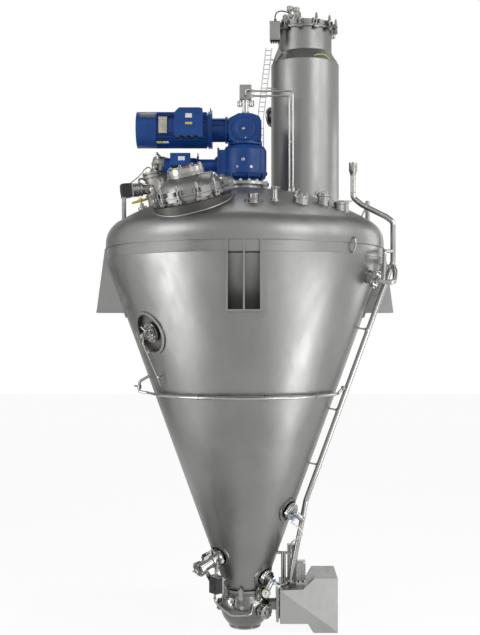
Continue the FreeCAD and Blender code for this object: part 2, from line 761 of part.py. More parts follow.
def bevel_gear(cone, bore, phase):
    """Straight bevel gear along +Z, with the point of its cone at the origin."""
    near = GEAR_CONE_LENGTH - GEAR_FACE
    step = 360.0 / GEAR_TEETH
    module = 2 * math.sin(math.radians(cone)) / GEAR_TEETH
    tip = cone + math.degrees(module) * 0.9
    root = cone - math.degrees(module) * 1.15
    inner, outer = gear_point(root, 0, near), gear_point(root, 0, GEAR_CONE_LENGTH)
    body = spin([(bore, inner.z), (inner.x, inner.z), (outer.x, outer.z),
                 (outer.x, outer.z + GEAR_BACK), (bore, outer.z + GEAR_BACK)])
    teeth = []
    for index in range(GEAR_TEETH):
        middle = (index + phase) * step
        wide, slim = step * TOOTH_SHARE * 0.72, step * TOOTH_SHARE * 0.30
        corners = [(root - 1.0, -wide), (root - 1.0, wide), (tip, slim), (tip, -slim)]
        ends = [Part.makePolygon([gear_point(c, middle + w, d) for c, w in corners + corners[:1]])
                for d in (near, GEAR_CONE_LENGTH)]
        teeth.append(Part.makeLoft(ends, True, True))
    return join(body, *teeth)


def orbit_arm():
    """Hollow shaft, hub casing, arm tube and head casing in one welding."""
    hub_top = ARM_Z + HUB_HALF_HEIGHT
    hub_foot = ARM_Z - HUB_HALF_HEIGHT
    tube_end = SCREW_APEX.x - 20
    shell = join(
        rod(HUB_RADIUS, Vector(0, 0, hub_foot), Vector(0, 0, hub_top)),
        rod(ORBIT_SHAFT_RADIUS, Vector(0, 0, hub_top - HUB_WALL), Vector(0, 0, ORBIT_TOP_Z)),
        rod(ARM_TUBE_RADIUS, Vector(0, 0, ARM_Z), Vector(tube_end, 0, ARM_Z)),
        rod(HEAD_CASE_RADIUS, screw_at(-HEAD_CASE_UP), screw_at(HEAD_CASE_DOWN)))
    bore = ARM_TUBE_RADIUS - ARM_TUBE_WALL
    hollow = join(
        rod(HUB_RADIUS - HUB_WALL, Vector(0, 0, hub_foot + HUB_WALL), Vector(0, 0, hub_top - HUB_WALL)),
        rod(bore, Vector(0, 0, ARM_Z), Vector(tube_end, 0, ARM_Z)),
        rod(HEAD_CASE_RADIUS - HEAD_CASE_WALL, screw_at(-HEAD_CASE_UP + HEAD_CASE_WALL),
            screw_at(HEAD_CASE_DOWN - BEARING_WEB)),
        rod(ORBIT_SHAFT_BORE, Vector(0, 0, hub_top), Vector(0, 0, ORBIT_TOP_Z - BEARING_WEB)))
    fit = RUNNING_FIT
    central = long_rod(CENTRAL_SHAFT_RADIUS + fit, Vector(0, 0, ARM_Z), Vector(0, 0, ORBIT_TOP_Z))
    screw = long_rod(SCREW_SHAFT_RADIUS + fit, screw_at(0), screw_at(HEAD_CASE_DOWN))
    webs = []
    for x in (HUB_RADIUS + 20, SCREW_APEX.x - GEAR_CONE_LENGTH - 60):
        near = Vector(x, 0, ARM_Z)
        webs.append(tube(bore, ARM_SHAFT_RADIUS + fit, near, near + RIGHT * BEARING_WEB))
    return join(trim(shell, hollow, central, screw), *webs)


def gear_back_z(cone):
    root = cone - math.degrees(2 * math.sin(math.radians(cone)) / GEAR_TEETH) * 1.15
    return GEAR_CONE_LENGTH * math.cos(math.radians(root)) + GEAR_BACK


def gear_front_z(cone):
    root = cone - math.degrees(2 * math.sin(math.radians(cone)) / GEAR_TEETH) * 1.15
    return (GEAR_CONE_LENGTH - GEAR_FACE) * math.cos(math.radians(root))


def central_shaft():
    shaft = rod(CENTRAL_SHAFT_RADIUS, HUB_APEX + UP * gear_front_z(HUB_CONE), Vector(0, 0, CENTRAL_TOP_Z))
    gear = placed(bevel_gear(HUB_CONE, CENTRAL_SHAFT_RADIUS, 0.0), HUB_APEX, UP)
    return [shaft, gear]


def arm_shaft():
    start = HUB_APEX + RIGHT * gear_front_z(HUB_CONE)
    finish = SCREW_APEX - RIGHT * gear_front_z(HEAD_CONE)
    inner = placed(bevel_gear(HUB_CONE, ARM_SHAFT_RADIUS, 0.5), HUB_APEX, RIGHT, UP)
    outer = placed(bevel_gear(HEAD_CONE, ARM_SHAFT_RADIUS, 0.5), SCREW_APEX, -RIGHT, SCREW_DOWN)
    return [rod(ARM_SHAFT_RADIUS, start, finish), inner, outer]


def screw():
    """Shaft with its bevel gear and a flight welded on."""
    seat = gear_back_z(HEAD_CONE)
    shaft = join(rod(SCREW_JOURNAL_RADIUS, screw_at(gear_front_z(HEAD_CONE)), screw_at(seat + 1)),
                 rod(SCREW_SHAFT_RADIUS, screw_at(seat), screw_at(SCREW_TIP_S)))
    gear = placed(bevel_gear(HEAD_CONE, SCREW_JOURNAL_RADIUS, 0.0), SCREW_APEX, SCREW_DOWN, -RIGHT)
    length = SCREW_TIP_S - FLIGHT_TOP_S - FLIGHT_PLATE
    inner = SCREW_SHAFT_RADIUS + FLIGHT_WELD_GAP
    helix = Part.makeLongHelix(SCREW_PITCH, length, inner, 0)
    outline = Part.makePolygon([Vector(inner, 0, 0), Vector(SCREW_RADIUS, 0, 0),
                                Vector(SCREW_RADIUS, 0, FLIGHT_PLATE), Vector(inner, 0, FLIGHT_PLATE),
                                Vector(inner, 0, 0)])
    flight = Part.Wire(helix).makePipeShell([outline], True, True)
    return [shaft, gear, placed(flight, screw_at(SCREW_TIP_S), -SCREW_DOWN)]


# Drive

def drive_pedestal():
    flange_foot = PEDESTAL_TOP_Z - PEDESTAL_FLANGE
    neck = trim(rod(PEDESTAL_NECK_RADIUS, Vector(0, 0, 1000), Vector(0, 0, flange_foot)),
                dome_solid(WALL_DEPTH, SEAM_Z),
                rod(PEDESTAL_NECK_RADIUS - PEDESTAL_WALL, Vector(0, 0, 900), Vector(0, 0, flange_foot)))
    flange = tube(PEDESTAL_FLANGE_RADIUS, ORBIT_SHAFT_RADIUS + RUNNING_FIT,
                  Vector(0, 0, flange_foot), Vector(0, 0, PEDESTAL_TOP_Z))
    bolts = []
    bolt_circle = PEDESTAL_FLANGE_RADIUS - 24
    step = 360 / PEDESTAL_BOLTS
    for index in range(PEDESTAL_BOLTS):
        pos = polar(bolt_circle, (index + 0.5) * step, PEDESTAL_TOP_Z)
        bolts.append(rod(11, pos, pos + UP * 16))
    return [join(neck, flange)] + bolts


def lower_gearbox():
    """Casting of revolution with a boxed input on the left."""
    foot, top = PEDESTAL_TOP_Z, LOWER_BOX_TOP_Z
    radius, wall = LOWER_BOX_RADIUS, LOWER_BOX_WALL
    case = spin([(0, foot), (radius - 48, foot), (radius - 48, foot + 24), (radius - 12, foot + 48),
                 (radius - 2, foot + 80), (radius + 5, foot + 80), (radius + 5, foot + 104),
                 (radius, foot + 104), (radius, top - 50), (radius - 18, top - 18),
                 (radius - 66, top), (0, top)])
    half = INPUT_BLOCK_HALF
    foot_z, top_z = SMALL_MOTOR_Z - half, SMALL_MOTOR_Z + half + 40
    inlet = block(INPUT_BLOCK_X, 0, -half, half, foot_z, top_z)
    cavity = spin([(0, foot + wall), (radius - 64, foot + wall), (radius - wall - 6, foot + 96),
                   (radius - wall, top - 60), (radius - wall - 50, top - wall), (0, top - wall)])
    room = block(INPUT_BLOCK_X + wall, 0, -half + wall, half - wall, foot_z + wall, top_z - wall)
    shaft = long_rod(ORBIT_SHAFT_RADIUS + RUNNING_FIT, Vector(0, 0, foot), Vector(0, 0, foot + wall))
    spindle = long_rod(CENTRAL_SHAFT_RADIUS + RUNNING_FIT, Vector(0, 0, top - wall), Vector(0, 0, top))
    drive = rod(SMALL_SHAFT_RADIUS + RUNNING_FIT, Vector(INPUT_BLOCK_X - 1, 0, SMALL_MOTOR_Z),
                Vector(INPUT_BLOCK_X + wall + 1, 0, SMALL_MOTOR_Z))
    return trim(join(case, inlet), cavity, room, shaft, spindle, drive)


def upper_gearbox():
    """Drum casting across the screw drive, on a flanged column."""
    foot = LOWER_BOX_TOP_Z
    wall = UPPER_BOX_WALL
    half = UPPER_BOX_DEPTH / 2
    centre = Vector(UPPER_BOX_X, 0, UPPER_BOX_Z)

    def drum(radius, reach):
        return rod(radius, centre + FRONT * reach, centre - FRONT * reach)

    case = join(drum(UPPER_BOX_RADIUS, half),
                rod(UPPER_BOX_COLUMN, Vector(0, 0, foot), Vector(0, 0, UPPER_BOX_Z)),
                rod(UPPER_BOX_COLUMN + 24, Vector(0, 0, foot), Vector(0, 0, foot + UPPER_BOX_FLANGE)),
                drum(UPPER_BOX_RADIUS - 40, half + 12),
                rod(LANTERN_RADIUS, Vector(UPPER_BOX_MOUTH_X, 0, BIG_MOTOR_Z), Vector(-60, 0, BIG_MOTOR_Z)),
                rod(60, Vector(UNION_X, 0, UPPER_BOX_Z),
                    Vector(UNION_X, 0, UPPER_BOX_Z + UPPER_BOX_RADIUS + UNION_SEAT)))
    room = join(drum(UPPER_BOX_RADIUS - wall, half - wall),
                rod(UPPER_BOX_COLUMN - wall, Vector(0, 0, foot + wall), Vector(0, 0, UPPER_BOX_Z)))
    spindle = long_rod(CENTRAL_SHAFT_RADIUS + RUNNING_FIT, Vector(0, 0, foot), Vector(0, 0, foot + wall))
    drive = rod(BIG_SHAFT_RADIUS + RUNNING_FIT, Vector(UPPER_BOX_MOUTH_X - 1, 0, BIG_MOTOR_Z),
                Vector(-100, 0, BIG_MOTOR_Z))
    below = rod(LOWER_BOX_RADIUS, Vector(0, 0, foot - 40), Vector(0, 0, foot))
    return trim(case, room, spindle, drive, below)


def motor_frame(axis_z, radius, fin, back_x, front_x, fins):
    """Finned stator housing along X with end shields."""
    a, b = Vector(back_x, 0, axis_z), Vector(front_x, 0, axis_z)
    body = join(rod(radius, a, b), rod(radius + fin - FAN_SHEET, a, a + RIGHT * 12))
    ribs = []
    for index in range(fins):
        angle = 360.0 / fins * (index + 0.5)
        rib = block(back_x + 14, front_x - 14, -2.5, 2.5, 0, radius + fin)
        rib.translate(Vector(0, 0, axis_z))
        ribs.append(turned(rib, angle, Vector(0, 0, axis_z), RIGHT))
    return join(body, *ribs)


def hollow_motor(frame, axis_z, radius, back_x, front_x, shaft_radius):
    room = rod(radius - MOTOR_WALL, Vector(back_x + MOTOR_WALL, 0, axis_z),
               Vector(front_x - MOTOR_WALL, 0, axis_z))
    shaft = long_rod(shaft_radius + RUNNING_FIT, Vector(back_x, 0, axis_z), Vector(front_x, 0, axis_z))
    return trim(frame, room, shaft)


def stator(axis_z, outer, inner, back_x, front_x):
    return tube(outer, inner, Vector(back_x, 0, axis_z), Vector(front_x, 0, axis_z))


def big_motor():
    frame = motor_frame(BIG_MOTOR_Z, BIG_MOTOR_RADIUS, BIG_MOTOR_FIN, BIG_MOTOR_FAN_X,
                        BIG_MOTOR_FRONT_X, BIG_MOTOR_FINS)
    case = hollow_motor(frame, BIG_MOTOR_Z, BIG_MOTOR_RADIUS, BIG_MOTOR_FAN_X, BIG_MOTOR_FRONT_X,
                        BIG_SHAFT_RADIUS)
    core = stator(BIG_MOTOR_Z, BIG_MOTOR_RADIUS - MOTOR_WALL, BIG_ROTOR_RADIUS + AIR_GAP, *BIG_CORE_X)
    outer = BIG_MOTOR_RADIUS + BIG_MOTOR_FIN
    left, right = BIG_TERMINAL_X
    foot, top = BIG_TERMINAL_Z
    cut = BIG_TERMINAL_CORNER
    back = -outer - 4
    box = prism([Vector(left, back, foot), Vector(right, back, foot), Vector(right, back, top),
                 Vector(left + cut, back, top), Vector(left, back, top - cut)], FRONT * BIG_TERMINAL_DEPTH)
    neck = block(left + cut, right - cut, back, -BIG_MOTOR_RADIUS + 30, foot + 33, top - 86)
    neck = trim(neck, frame)
    return [case, core, box, neck]


def big_fan_cover():
    outer = BIG_MOTOR_RADIUS + BIG_MOTOR_FIN
    a, b = Vector(BIG_MOTOR_FAN_END_X, 0, BIG_MOTOR_Z), Vector(BIG_MOTOR_FAN_X, 0, BIG_MOTOR_Z)
    b = b + RIGHT * 12
    cup = trim(rod(outer, a, b), rod(outer - FAN_SHEET, a + RIGHT * FAN_SHEET, b + RIGHT))
    slots = []
    for index in range(FAN_SLOTS):
        slot = block(BIG_MOTOR_FAN_END_X - 1, BIG_MOTOR_FAN_END_X + 5, -9, 9, 40, outer - 30)
        slot.translate(Vector(0, 0, BIG_MOTOR_Z))
        slots.append(turned(slot, 360 / FAN_SLOTS * index, a, RIGHT))
    return trim(cup, *slots)


def big_lantern():
    """Bell housing between the motor flange and the upper gearbox."""
    a = Vector(BIG_MOTOR_FRONT_X, 0, BIG_MOTOR_Z)
    b = a + RIGHT * BIG_MOTOR_FLANGE
    c = Vector(UPPER_BOX_MOUTH_X, 0, BIG_MOTOR_Z)
    shell = join(rod(BIG_MOTOR_FLANGE_RADIUS, a, b), rod(LANTERN_RADIUS - 12, b, c))
    ribs = []
    for index in range(LANTERN_RIBS):
        rib = block(b.x, c.x, -4, 4, 0, LANTERN_RADIUS)
        rib.translate(Vector(0, 0, BIG_MOTOR_Z))
        ribs.append(turned(rib, 360 / LANTERN_RIBS * index, a, RIGHT))
    room = rod(LANTERN_RADIUS - 30, a - RIGHT, c + RIGHT)
    return trim(join(shell, *ribs), room)


def small_motor():
    z = SMALL_MOTOR_Z
    frame = motor_frame(z, SMALL_MOTOR_RADIUS, SMALL_MOTOR_FIN, SMALL_MOTOR_FAN_X,
                        SMALL_MOTOR_FRONT_X, SMALL_MOTOR_FINS)
    case = hollow_motor(frame, z, SMALL_MOTOR_RADIUS, SMALL_MOTOR_FAN_X, SMALL_MOTOR_FRONT_X,
                        SMALL_SHAFT_RADIUS)
    core = stator(z, SMALL_MOTOR_RADIUS - MOTOR_WALL, SMALL_ROTOR_RADIUS + AIR_GAP, *SMALL_CORE_X)
    outer = SMALL_MOTOR_RADIUS + SMALL_MOTOR_FIN
    a, b = Vector(SMALL_MOTOR_FAN_END_X, 0, z), Vector(SMALL_MOTOR_FAN_X, 0, z)
    b = b + RIGHT * 12
    cup = trim(rod(outer, a, b), rod(outer - FAN_SHEET, a + RIGHT * FAN_SHEET, b + RIGHT))
    left, right = SMALL_TERMINAL_X
    box = block(left, right, -outer - SMALL_TERMINAL_DEPTH, -outer, z - 16, z + 96)
    front = Vector(SMALL_MOTOR_FRONT_X, 0, z)
    flange = front + RIGHT * SMALL_MOTOR_FLANGE
    mouth = Vector(INPUT_BLOCK_X, 0, z)
    lantern = trim(join(rod(SMALL_MOTOR_FLANGE_RADIUS, front, flange),
                        rod(SMALL_LANTERN_RADIUS, flange, mouth),
                        rod(SMALL_MOTOR_FLANGE_RADIUS, mouth - RIGHT * SMALL_MOTOR_FLANGE, mouth)),
                   long_rod(SMALL_LANTERN_RADIUS - 14, front, mouth))
    saddle = block(left + 14, right - 20, -outer, -SMALL_MOTOR_RADIUS + 20, z - 10, z + 50)
    return [case, core, cup, box, lantern, trim(saddle, frame)]


def rotor(axis_z, shaft_radius, core_radius, core_x, fan_radius, fan_x, back_x, front_x):
    a, b = Vector(back_x, 0, axis_z), Vector(front_x, 0, axis_z)
    shaft = rod(shaft_radius, a, b)
    core = tube(core_radius, shaft_radius, Vector(core_x[0], 0, axis_z), Vector(core_x[1], 0, axis_z))
    hub = Vector(fan_x, 0, axis_z)
    fan = tube(shaft_radius + 14, shaft_radius, hub, hub + RIGHT * FAN_DEPTH)
    blades = []
    for index in range(FAN_BLADES):
        blade = block(fan_x, fan_x + FAN_DEPTH, -2, 2, shaft_radius + 8, fan_radius)
        blade.translate(Vector(0, 0, axis_z))
        blades.append(turned(blade, 360 / FAN_BLADES * index, a, RIGHT))
    return [shaft, core, join(fan, *blades)]


def rotary_union():
    """Purge gas union on top of the screw drive."""
    x = UNION_X
    foot = UPPER_BOX_Z + UPPER_BOX_RADIUS + UNION_SEAT
    z = UNION_BOX_Z
    half = UNION_BOX_WIDTH / 2
    stem = rod(UNION_TUBE_RADIUS, Vector(x, 0, foot), Vector(x, 0, z))
    box = block(x - half, x + half, -half, half, z, z + UNION_BOX_HEIGHT)
    lobes = rod(27, Vector(x - 72, 0, z - 30), Vector(x + 82, 0, z - 30))
    collar = rod(UNION_TUBE_RADIUS + 12, Vector(x, 0, foot), Vector(x, 0, foot + 14))
    return join(stem, box, lobes, collar)


def gas_pipes():
    side = UNION_X + UNION_BOX_WIDTH / 2
    solids = []
    for x, z in GAS_LINES:
        foot = dome_point(x, GAS_Y).z
        solids.append(pipe([Vector(side, GAS_Y, z), Vector(x, GAS_Y, z), Vector(x, GAS_Y, foot + 40)],
                           GAS_PIPE_RADIUS, GAS_PIPE_BEND, GAS_PIPE_WALL))
        boss = rod(16, Vector(x, GAS_Y, foot - 30), Vector(x, GAS_Y, foot + 40))
        solids.append(trim(boss, dome_solid(0, SEAM_Z)))
    back = GAS_Y + GAS_PIPE_RADIUS
    strap = block(GAS_LINES[0][0] - 4, GAS_LINES[1][0] + 4, back, back + 4, *GAS_STRAP_Z)
    return solids + [strap]


# Manway

def on_manway(shape):
    return placed(shape, MANWAY_POS, MANWAY_AXIS)


def swing_angles():
    step = 360.0 / SWING_PLACES
    angles = [step * (index + 0.5) for index in range(SWING_PLACES)]
    return [a for a in angles if 20 < a < 340]


def swing_ears(circle, inner, pivot_z, top_z):
    """Two ears and a fixed pin that hold one swing bolt, at angle zero."""
    near = SWING_EYE_WIDTH / 2 + SWING_SIDE_GAP
    far = near + EAR_PLATE
    pieces = []
    for side in (-1, 1):
        y0, y1 = sorted((near * side, far * side))
        pieces.append(block(inner - 6, circle + 16, y0, y1, pivot_z - 16, top_z))
    pin = rod(SWING_PIN_RADIUS, Vector(circle, -far, pivot_z), Vector(circle, far, pivot_z))
    return join(pieces[0], pieces[1], pin)


def swing_bolt(circle, pivot_z, seat_z):
    """Eye bolt with a tall round nut, at angle zero."""
    half = SWING_EYE_WIDTH / 2
    top = seat_z + SWING_NUT_HEIGHT
    shank = SWING_ROD_RADIUS
    stem = spin([(0, pivot_z), (shank, pivot_z), (shank, seat_z), (SWING_NUT_RADIUS, seat_z),
                 (shank + 1, top), (shank - 1, top), (shank - 1, top + 8), (0, top + 8)])
    stem.translate(Vector(circle, 0, 0))
    near, far = Vector(circle, -half, pivot_z), Vector(circle, half, pivot_z)
    eye = rod(SWING_EYE_RADIUS, near, far)
    hole = long_rod(SWING_PIN_RADIUS + RUNNING_FIT, near, far)
    return eye.fuse(stem).cut(hole).Solids[0]


def lid_lug(inner, circle, foot_z, top_z):
    """Pair of upright plates either side of one swing bolt, at angle zero."""
    near = SWING_NUT_RADIUS + NUT_PASS_GAP
    plates = []
    for side in (-1, 1):
        y0, y1 = sorted((near * side, (near + EAR_PLATE) * side))
        plates.append(block(inner - 8, circle + 14, y0, y1, foot_z, top_z))
    return plates


def hinge_pin_x():
    return MANWAY_FLANGE_RADIUS + HINGE_OFFSET


def manway_neck():
    bore, outer = MANWAY_BORE, MANWAY_BORE + MANWAY_WALL
    flange_foot = -MANWAY_FLANGE
    rim = MANWAY_FLANGE_RADIUS
    body = spin([(bore, -330), (outer, -330), (outer, flange_foot), (rim, flange_foot), (rim, 0), (bore, 0)])
    ears = swing_ears(SWING_CIRCLE, rim, SWING_PIVOT_Z, flange_foot + 20)
    pieces = [turned(ears, angle) for angle in swing_angles()]
    x = hinge_pin_x()
    for side in (-1, 1):
        y0, y1 = sorted((side * 62, side * 76))
        plate = prism([Vector(rim - 10, y0, flange_foot), Vector(x + 20, y0, flange_foot),
                       Vector(x + 20, y0, HINGE_RISE + 20), Vector(x - 18, y0, HINGE_RISE + 20),
                       Vector(x - 18, y0, -6), Vector(rim - 10, y0, -6)], Vector(0, y1 - y0, 0))
        pieces.append(plate)
    pin = rod(HINGE_PIN_RADIUS, Vector(x, -76, HINGE_RISE), Vector(x, 76, HINGE_RISE))
    neck = on_manway(join(body, *pieces, pin))
    neck = trim(neck, dome_solid(WALL_DEPTH, SEAM_Z))
    clad = MANWAY_NECK_CLAD
    drop = -MANWAY_CLAD_DROP
    end = MANWAY_SLEEVE_END
    sleeve = spin([(clad - CLAD_WALL, end), (clad, end), (clad, drop), (outer + WALL_JOINT, drop),
                   (outer + WALL_JOINT, drop - CLAD_WALL), (clad - CLAD_WALL, drop - CLAD_WALL)])
    return [neck, trim(on_manway(sleeve), dome_solid(0, SEAM_Z))]


def arc(start, finish, bulge):
    middle = (start + finish) / 2
    side = (finish - start).normalize().cross(Vector(0, 1, 0))
    return Part.Arc(start, middle + side * bulge, finish).toShape()


def line(start, finish):
    return Part.LineSegment(start, finish).toShape()


def rim_notches():
    """Notches that let the lid's rim swing past the two bolts beside the hinge."""
    radius = SWING_NUT_RADIUS
    notches = []
    for angle in (swing_angles()[0], swing_angles()[-1]):
        spot = polar(SWING_CIRCLE, angle, -1)
        far = spot - RIGHT * RIM_TRAVEL
        rise = UP * (MANWAY_LID_RIM + 2)
        slot = block(far.x, spot.x, spot.y - radius, spot.y + radius, -1, MANWAY_LID_RIM + 1)
        notches += [rod(radius, spot, spot + rise), rod(radius, far, far + rise), slot]
    return notches


def lid_handle():
    """Bent bar with both feet in the wall of the dish."""
    foot_radius, foot_z = LID_HANDLE_FOOT
    top_radius, top_z = LID_HANDLE_TOP
    first, last = LID_HANDLE_ANGLES
    points = [polar(foot_radius, first, foot_z), polar(top_radius, first, top_z),
              polar(top_radius, last, top_z), polar(foot_radius, last, foot_z)]
    return pipe(points, LID_HANDLE_BAR, LID_HANDLE_BEND)


def manway_lid():
    """Dished lid with a pad for the sight glass, lugs and hinge arms."""
    rim, bore = MANWAY_FLANGE_RADIUS, MANWAY_BORE
    top = MANWAY_LID_RIM
    crest = top + MANWAY_DISH_RISE
    pad_top = crest + SIGHT_PAD
    p = [Vector(r, 0, z) for r, z in (
        (bore, SEAT_GAP), (rim, SEAT_GAP), (rim, top), (rim - 28, top), (SIGHT_RADIUS - 8, crest),
        (SIGHT_RADIUS, crest), (SIGHT_RADIUS, pad_top), (SIGHT_BORE, pad_top), (SIGHT_BORE, crest - 9),
        (SIGHT_RADIUS - 14, crest - 9), (bore, top - 18))]
    edges = [line(p[0], p[1]), line(p[1], p[2]), line(p[2], p[3]), arc(p[3], p[4], -MANWAY_DISH_BULGE),
             line(p[4], p[5]), line(p[5], p[6]), line(p[6], p[7]), line(p[7], p[8]),
             line(p[8], p[9]), arc(p[9], p[10], MANWAY_DISH_BULGE), line(p[10], p[0])]
    body = Part.Face(Part.Wire(edges)).revolve(ORIGIN, UP, 360)
    lugs = []
    for angle in swing_angles():
        if 60 < angle < 300:
            lugs += [turned(plate, angle) for plate in lid_lug(rim, SWING_CIRCLE, 14, top)]
    x = hinge_pin_x()
    arms = []
    for side in (-1, 1):
        y0, y1 = sorted((side * 44, side * 60))
        arms.append(prism([Vector(rim - 12, y0, 12), Vector(x - 22, y0, 12),
                           Vector(x - 22, y0, HINGE_RISE - 22), Vector(x + 22, y0, HINGE_RISE - 22),
                           Vector(x + 22, y0, HINGE_RISE + 22), Vector(rim - 12, y0, top + 30)],
                          Vector(0, y1 - y0, 0)))
    shell = join(body, *lugs, *arms)
    hole = rod(HINGE_PIN_RADIUS + RUNNING_FIT, Vector(x, -80, HINGE_RISE), Vector(x, 80, HINGE_RISE))
    inner = spin([(0, -1), (bore, -1), (bore, top - 20), (0, top - 20)])
    shell = trim(shell, hole, inner, *rim_notches())
    return [on_manway(shell), on_manway(trim(lid_handle(), body))]


def sight_glass():
    crest = MANWAY_LID_RIM + MANWAY_DISH_RISE + SIGHT_PAD
    ring = spin([(SIGHT_BORE, crest + SIGHT_GLASS), (SIGHT_BORE + 22, crest + SIGHT_GLASS),
                 (SIGHT_BORE + 22, crest), (SIGHT_RADIUS, crest),
                 (SIGHT_RADIUS, crest + SIGHT_RING), (SIGHT_BORE, crest + SIGHT_RING)])
    glass = spin([(0, crest), (SIGHT_BORE + 21, crest), (SIGHT_BORE + 21, crest + SIGHT_GLASS - 1),
                  (0, crest + SIGHT_GLASS - 1)])
    bolts = []
    step = 360 / SIGHT_BOLTS
    for index in range(SIGHT_BOLTS):
        pos = polar(SIGHT_RADIUS - 20, step * (index + 0.5), crest + SIGHT_RING)
        bolts.append(rod(13, pos, pos + UP * 16))
    return [on_manway(piece) for piece in [ring, glass] + bolts]


def manway_bolts():
    for index, angle in enumerate(swing_angles(), 1):
        bolt = swing_bolt(SWING_CIRCLE, SWING_PIVOT_Z, MANWAY_LID_RIM + 4)
        save("manway_bolt_%d" % index, on_manway(turned(bolt, angle)))


# Dust filter tower

def on_tower(shape):
    result = shape.copy()
    result.translate(Vector(TOWER_X, TOWER_Y, 0))
    return result


def tower_angles():
    return [360 / TOWER_BOLTS * index + TOWER_BOLT_START for index in range(TOWER_BOLTS)]


def branch_axis():
    return Vector(-0.86, 0.5, 0).normalize()


def branch_at(reach, z=BRANCH_Z):
    return tower_axis(z) + branch_axis() * reach


def filter_shell():
    top = TOWER_TOP_Z + TOWER_FLANGE
    radius, inner = TOWER_RADIUS, TOWER_RADIUS - TOWER_WALL
    body = spin([(inner, 700), (radius, 700), (radius, TOWER_TOP_Z), (TOWER_FLANGE_RADIUS, TOWER_TOP_Z),
                 (TOWER_FLANGE_RADIUS, top), (inner, top)])
    ears = swing_ears(TOWER_BOLT_CIRCLE, TOWER_FLANGE_RADIUS, TOWER_PIVOT_Z, TOWER_TOP_Z + 14)
    body = on_tower(join(body, *[turned(ears, angle) for angle in tower_angles()]))
    body = trim(body, dome_solid(WALL_DEPTH, SEAM_Z),
                rod(BRANCH_RADIUS, branch_at(0), branch_at(TOWER_CLAD_RADIUS + 20)))
    start = math.sqrt(TOWER_RADIUS ** 2 - BRANCH_RADIUS ** 2) - 12
    neck = trim(tube(BRANCH_RADIUS + NOZZLE_WALL, BRANCH_RADIUS, branch_at(start),
                     branch_at(TOWER_CLAD_RADIUS + BRANCH_REACH)),
                rod(TOWER_RADIUS, tower_axis(1700), tower_axis(2300)))
    end = TOWER_CLAD_RADIUS + BRANCH_REACH
    flange = tube(BRANCH_RADIUS + BRANCH_FLANGE_WIDTH, BRANCH_RADIUS + NOZZLE_WALL,
                  branch_at(end - BRANCH_FLANGE), branch_at(end))
    holes = []
    side = UP.cross(branch_axis())
    for index in range(BRANCH_BOLTS):
        angle = math.radians(360 / BRANCH_BOLTS * (index + 0.5))
        shift = (UP * math.cos(angle) + side * math.sin(angle)) * BRANCH_BOLT_CIRCLE
        holes.append(rod(BRANCH_BOLT_RADIUS, branch_at(end - 40) + shift, branch_at(end + 40) + shift))
    return [body, neck, trim(flange, *holes)]


def filter_cladding():
    radius = TOWER_CLAD_RADIUS
    low, high = TOWER_SHOULDER_Z, TOWER_SHOULDER_TOP_Z
    slip = TOWER_RADIUS + WALL_JOINT
    body = spin([(radius - CLAD_WALL, 700), (radius, 700), (radius, low), (slip, high),
                 (slip, high - 6), (radius - CLAD_WALL, low - 2)])
    body = trim(on_tower(body), dome_solid(0, SEAM_Z),
                rod(BRANCH_RADIUS + NOZZLE_WALL + 1, branch_at(100), branch_at(radius + 30)))
    near = -HOOD_WIDTH
    hood = prism([Vector(-radius + 4, near, low - 6), Vector(-radius + 62, near, high + 26),
                  Vector(-190, near, high - 46), Vector(-190, near, low - 6)], Vector(0, HOOD_WIDTH, 0))
    room = rod(radius - CLAD_WALL, Vector(0, 0, low - 60), Vector(0, 0, high + 80))
    core = rod(slip, Vector(0, 0, low - 60), Vector(0, 0, high + 80))
    slope = spin([(0, low - 60), (radius, low - 60), (radius, low), (slip, high), (0, high)])
    hood = on_tower(trim(hood.common(room), core, slope))
    return [body] + hood.Solids


def tower_shoulder():
    return spin([(0, TOWER_SHOULDER_Z), (TOWER_CLAD_RADIUS, TOWER_SHOULDER_Z),
                 (TOWER_RADIUS + WALL_JOINT, TOWER_SHOULDER_TOP_Z), (0, TOWER_SHOULDER_TOP_Z)])


def filter_tube_sheet():
    sheet = rod(TOWER_RADIUS - TOWER_WALL - SEAT_GAP, Vector(0, 0, TUBE_SHEET_Z),
                Vector(0, 0, TUBE_SHEET_Z + TUBE_SHEET))
    ledge = tube(TOWER_RADIUS - TOWER_WALL, TOWER_RADIUS - TOWER_WALL - 12,
                 Vector(0, 0, TUBE_SHEET_Z - 14), Vector(0, 0, TUBE_SHEET_Z))
    holes = [long_rod(BAG_RADIUS + 1, c + UP * TUBE_SHEET_Z, c + UP * (TUBE_SHEET_Z + TUBE_SHEET))
             for c in bag_centres()]
    return [on_tower(trim(sheet, *holes)), on_tower(ledge)]


def bag_centres():
    step = 360.0 / BAG_COUNT
    return [ORIGIN] + [polar(BAG_CIRCLE, step * index) for index in range(BAG_COUNT)]


def filter_bags():
    top = TUBE_SHEET_Z + TUBE_SHEET
    bags = []
    for centre in bag_centres():
        foot = top - BAG_LENGTH
        bag = spin([(0, foot), (BAG_RADIUS, foot), (BAG_RADIUS, top), (BAG_RADIUS + 8, top),
                    (BAG_RADIUS + 8, top + 3), (BAG_RADIUS - BAG_WALL, top + 3),
                    (BAG_RADIUS - BAG_WALL, foot + BAG_WALL), (0, foot + BAG_WALL)])
        bag.translate(centre)
        bags.append(on_tower(bag))
    return bags


